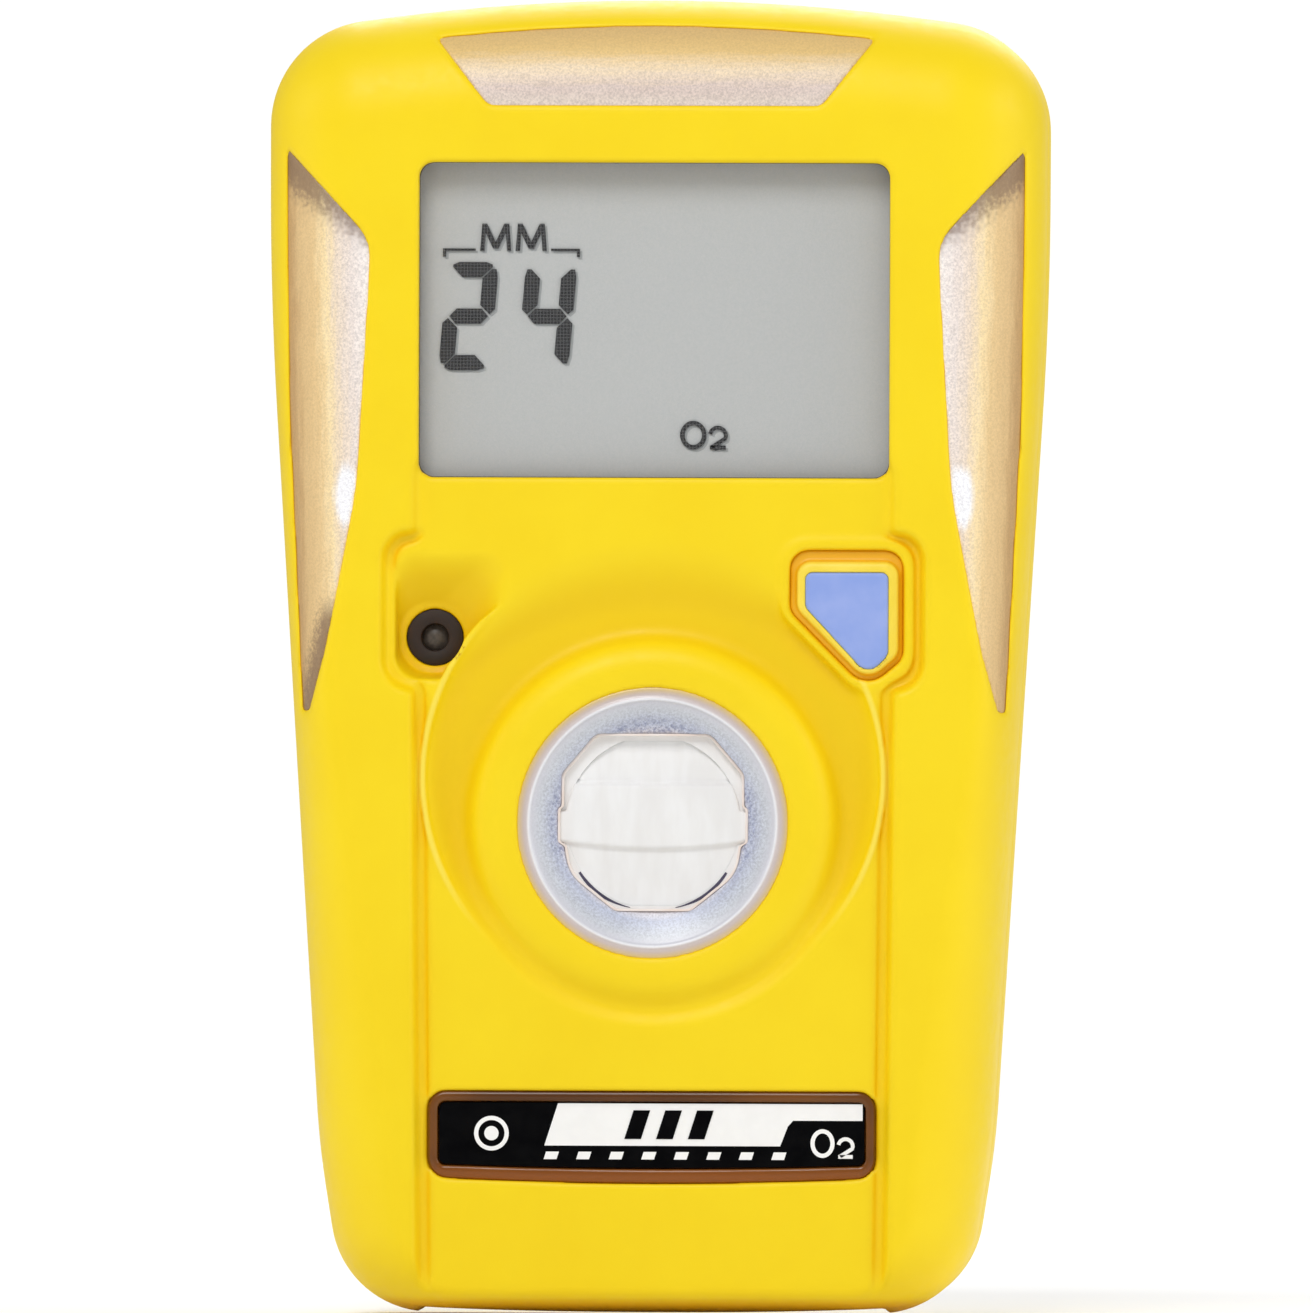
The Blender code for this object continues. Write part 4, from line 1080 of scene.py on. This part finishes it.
def label_print():
    """A plain plate: a ring and dot, a white slanted block with three bars, a row of dashes, a gas symbol."""
    plate = flat_art("label_plate_print", [LABEL_PLATE], 1.0, 1.35, LABEL_BLACK)
    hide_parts("label_plate")
    near, far = 0.96, 0.995

    def leaning(x, width, z0, z1):
        left0, left1 = x + 0.32 * (z0 - 11), x + 0.32 * (z1 - 11)
        return [[(left0, z0), (left0 + width, z0), (left1 + width, z1), (left1, z1)]]

    block = [(-7.1, 11.15), (8.5, 11.15), (9.0, 12.45), (9.35, 12.85), (13.95, 12.85), (13.95, 13.95),
             (-6.2, 13.95)]
    merged_art("label_white_block", [[block]], near, far, LABEL_WHITE)
    white = ring(-10.6, 11.95, 2.3, 2.3, 0.28)
    dot = ring(-10.6, 11.95, 0.95, 0.95, 0.25)[:1]
    groups = [white, dot] + [leaning(x, 0.85, 10.25, 10.75) for x in np.arange(-6.9, 8.2, 2.15)]
    groups.append(ring(11.3, 11.35, 1.6, 1.9, 0.28))
    groups += [[outline] for outline in small_two(12.35, 10.35, 0.95, 1.3, 0.25)]
    merged_art("label_white_marks", groups, near, far, LABEL_WHITE)
    bars = [leaning(x, 1.1, 11.6, 13.5) for x in (-2.0, 0.1, 2.2)]
    merged_art("label_black_bars", bars, near - 0.035, near - 0.002, LABEL_BLACK)


# -------- sensor port and sounder


def inset(outline, gap, reach=6):
    """An outline about the sensor, drawn in by a gap at a distance of reach from its middle."""
    shrink = 1 - gap / reach
    return [(x * shrink, SENSOR[1] + (z - SENSOR[1]) * shrink) for x, z in outline]


def port_cap():
    """A flat band, a thin lip, then a bowl down to the eight-sided opening."""
    grid = Grid((-9.3, 9.3), (0.0, 4.7), (SENSOR[1] - 9.3, SENSOR[1] + 9.3), FINE_CELL)
    out = grid.radius(SENSOR)
    band, rim, back = 8.2, 9.0, 4.3
    front = 0.32 + 1.1 * np.clip((band - out) / 2.4, 0, 1) ** 1.2
    lip = np.hypot(out - band, grid.d - 0.33) - 0.14
    cap = smooth_max(out - rim, front - grid.d, 0.05)
    cap = smooth_max(cap, grid.d - back, 0.2)
    cap = join(cap, lip, 0.1)
    cap = cut(cap, np.maximum(grid.outline(PORT_OPENING), -grid.d), 0.12)
    # A white seat closes the corners between the opening and the disc.
    disc_edge = [(x, min(max(z, SENSOR[1] - 5.5), SENSOR[1] + 5.4))
                 for x, z in ring(*SENSOR, 11.5, 11.5, 0, 72)[0]]
    flat_art("port_seat", [PORT_OPENING, disc_edge], 1.72, 2.4, MEMBRANE)
    flat_art("port_bead", [PORT_OPENING, inset(PORT_OPENING, 0.17)], 1.2, 1.9, PEACH, 0.05)
    moulded("port_ring", "sensor_cap", grid, cap, RING, 80000)


def port_grille():
    """The white disc with a tab at each side, raised in the middle, with a line across its top."""
    grid = Grid((-6.8, 6.8), (0.9, 2.7), (SENSOR[1] - 6.2, SENSOR[1] + 6.2), FINE_CELL)
    up = grid.z - SENSOR[1]
    across = np.abs(grid.x)
    disc = np.maximum(grid.radius(SENSOR) - PORT_DISC, np.abs(up + 0.04) - 5.55)
    tabs = np.maximum(across - 6.3, np.abs(up + 0.33) - 1.1)
    sag = 0.45 * (1 - (across / 6) ** 2)
    upper = smoothstep(up, 2.5, 2.8)
    lower = 1 - smoothstep(up + 1.3 + sag, -0.12, 0.12)
    line = 0.18 * (np.abs(up - 2.62 - 0.02 * across) < 0.09)
    face = 1.45 + 0.3 * upper + 0.3 * lower + line + 0.012 * up ** 2
    plate = smooth_max(np.minimum(disc, tabs), face - grid.d, 0.12)
    plate = smooth_max(plate, grid.d - 2.45, 0.1)
    moulded("port_grille", "sensor_grille", grid, plate, MEMBRANE, 60000)


def port_slots():
    """Two slots at the foot of the disc, which run out to a point at its lowest, drawn as dark crescents:
    painted shade in the gaps.
    """
    slots = []
    for side in (-1, 1):
        inner, outer = [], []
        for share in np.linspace(0, 1, 15):
            angle = math.radians(side * (15 + 41 * share))
            thick = 0.02 + 0.2 * min(2 * share, 1) - 0.08 * share ** 4
            for radius, line in ((5.78, inner), (PORT_DISC + thick, outer)):
                line.append((radius * math.sin(angle), SENSOR[1] - radius * math.cos(angle)))
        slots.append([inner + outer[::-1]])
    merged_art("port_slots", slots, 1.7, 2.3, SLOT_DARK)


def sounder():
    profile = [(0.86, 4.8), (0.86, 3.1), (0.95, 2.85), (1.2, 2.78), (1.6, 2.8), (1.84, 2.9), (1.84, 5.0),
               (1.2, 5.1)]
    piece = turned("sounder_grommet", BUZZER, profile, GROMMET)
    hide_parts("buzzer_grommet")
    turned("sounder_mesh", BUZZER, [(0, 3.3), (0.5, 3.36), (0.84, 3.6), (0.84, 3.9), (0, 3.9)], MESH_GREY)


# -------- back and inside


def wire(name, path, thickness, finish, body):
    """A round wire through (x, depth, z) points, with capped ends."""
    curve = bpy.data.curves.new(name, "CURVE")
    curve.dimensions = "3D"
    curve.bevel_depth = thickness / 2 * MM
    curve.bevel_resolution = 4
    curve.use_fill_caps = True
    spline = curve.splines.new("POLY")
    spline.points.add(len(path) - 1)
    for point, place in zip(spline.points, path):
        point.co = (*to_world(np.array(place)), 1)
    mesh = mesh_of(curve)
    weld(mesh)
    smooth(mesh, 50)
    return new_piece(name, mesh, finish, body)


def clip_spring():
    """A torsion spring round the pin: the coil and lower leg stay put, the upper leg goes with the lever."""
    low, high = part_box("clip_pin")
    depth, height = (low.y + high.y) / 2 / MM - FRONT_Y, (low.z + high.z) / 2 / MM
    thickness, coil, half_length, turns, points_a_turn = 0.8, 2.2, 3.2, 4.5, 24
    path = [(-half_length, 28.9, 57.5)]
    for share in np.linspace(0, 1, int(turns * points_a_turn) + 1):
        angle = math.pi + math.tau * turns * share
        path.append((half_length * (2 * share - 1),
                     depth + coil * math.cos(angle), height + coil * math.sin(angle)))
    fixed = wire("spring_coil", path, thickness, TURNED_STEEL, "housing")
    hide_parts("clip_spring")
    leg = [(half_length, depth + coil - 0.1, height - 0.5), (half_length, 37.2, 58)]
    wire("spring_leg", leg, thickness, TURNED_STEEL, "lever")


def back_fittings():
    clip_spring()
    refined("clip_plate", "clip_base", STEEL, 0.18)
    refined("clip_jaw", "clip_lever", STEEL, 0.2, "lever")
    refined("clip_axle", "clip_pin", TURNED_STEEL, 0.15)
    for index in (1, 2):
        refined(f"clip_fastener_{index}", f"clip_screw_{index}", TURNED_STEEL, 0.12)
    for index in range(1, 5):
        refined(f"housing_fastener_{index}", f"housing_screw_{index}", TURNED_STEEL, 0.12)
    refined("rear_plate", "rear_label", PAPER, 0.08)
    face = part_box("rear_label")[1].y / MM - FRONT_Y
    lines = [[rectangle(-12.5, 12.5 - 5 * (row % 2), z, z + 0.45, 0.1)]
             for row, z in enumerate(np.arange(11, 15.5, 1.1))]
    lines.append([rectangle(-12.5, -6.5, 16.2, 18.2, 0.2)])
    merged_art("rear_plate_print", lines, face + 0.002, face + 0.03, PRINT)


CARRIED = (
    (CLEAR, "display_window"),
    (REFLECTOR, "display_cell"),
    (GUIDE, "display_backlight"),
    (BLACK, "display_holder", "microcontroller", "infrared_emitter", "infrared_receiver", "buzzer",
     "switch_body"),
    (RUBBER, "contact_strip_lower", "contact_strip_upper", "sensor_gasket"),
    (BOARD, "circuit_board"),
    (LAMP, "alarm_lamp_1", "alarm_lamp_2", "alarm_lamp_3", "alarm_lamp_4"),
    (SENSOR_CASE, "gas_sensor", "switch_plunger"),
    (MEMBRANE, "sensor_filter", "buzzer_membrane"),
    (CELL_JACKET, "lithium_cell"),
    (TURNED_STEEL, "cell_tab_negative", "cell_tab_positive", "vibration_motor", "motor_shaft",
     "motor_weight"),
)


def carried_nodes():
    """The inner CAD nodes keep their shapes and take a finish."""
    for finish, *nodes in CARRIED:
        for node in nodes:
            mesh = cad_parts[node].data
            for index in range(len(mesh.materials)):
                mesh.materials[index] = finish[0]
            if not mesh.materials:
                mesh.materials.append(finish[0])


# -------- stage


def pale_stage():
    mesh = bpy.data.meshes.new("studio_floor")
    with edited(mesh) as shape:
        bmesh.ops.create_circle(shape, cap_ends=True, segments=96, radius=0.6)
    floor = new_object("studio_floor", mesh)
    floor.location = (0, 0, -0.4 * MM)
    paper = Finish("studio_paper", roughness=0.8)
    paper.colour(paper.mix(paper.noise(40), (0.93, 0.93, 0.93), (0.96, 0.96, 0.96)))
    mesh.materials.append(paper.material)


def studio_light():
    world = bpy.data.worlds.new("studio")
    world.use_nodes = True
    tree = world.node_tree
    background = tree.nodes["Background"]
    background.inputs["Color"].default_value = (1, 1, 1, 1)
    path = tree.nodes.new("ShaderNodeLightPath")
    strength = tree.nodes.new("ShaderNodeMapRange")
    strength.inputs["To Min"].default_value = AMBIENT
    strength.inputs["To Max"].default_value = BACKDROP
    tree.links.new(path.outputs["Is Camera Ray"], strength.inputs["Value"])
    tree.links.new(strength.outputs["Result"], background.inputs["Strength"])
    bpy.context.scene.world = world
    panels = (
        ("key", (-0.14, -0.6, 0.62), 0.35, 3.15),
        ("fill", (0.5, -0.6, 0.15), 0.6, 0.3),
        ("left side", (-0.7, -0.12, 0.3), 0.4, 0.8),
        ("right side", (0.7, -0.12, 0.3), 0.4, 1.35),
        ("rear", (0.1, 0.6, 0.5), 0.5, 3.5),
    )
    middle = Vector((0, 0, 0.045))
    for name, place, size, power in panels:
        light = bpy.data.lights.new(name, "AREA")
        light.size = size
        light.energy = power
        lamp = new_object(name, light)
        lamp.location = place
        lamp.rotation_euler = (middle - lamp.location).to_track_quat("-Z", "Y").to_euler()


def camera(distance=2.0, azimuth=2.0, roll=0.2):
    """A long lens level with the middle of the object, which fills the frame's height. Angles in degrees."""
    data = bpy.data.cameras.new("camera")
    data.sensor_width = 36
    margin = 1.0006
    data.lens = data.sensor_width * distance / (HEIGHT * MM * margin)
    data.clip_end = 10
    made = new_object("camera", data)
    angle = math.radians(azimuth)
    target = Vector((0, FRONT_Y * MM + 0.007, HEIGHT * MM / 2))
    away = Vector((math.sin(angle), -math.cos(angle), 0))
    made.location = target + away * distance
    aim = (-away).to_track_quat("-Z", "Y").to_matrix().to_4x4()
    made.rotation_euler = (aim @ Matrix.Rotation(math.radians(roll), 4, "Z")).to_euler()
    bpy.context.scene.camera = made


front_moulding()
rear_moulding()
shell_seal()
alarm_windows()
button()
label_window()
label_print()
display()
port_cap()
port_grille()
port_slots()
sounder()
back_fittings()
carried_nodes()
pale_stage()
studio_light()
camera()
bpy.context.scene.view_settings.view_transform = "Standard"
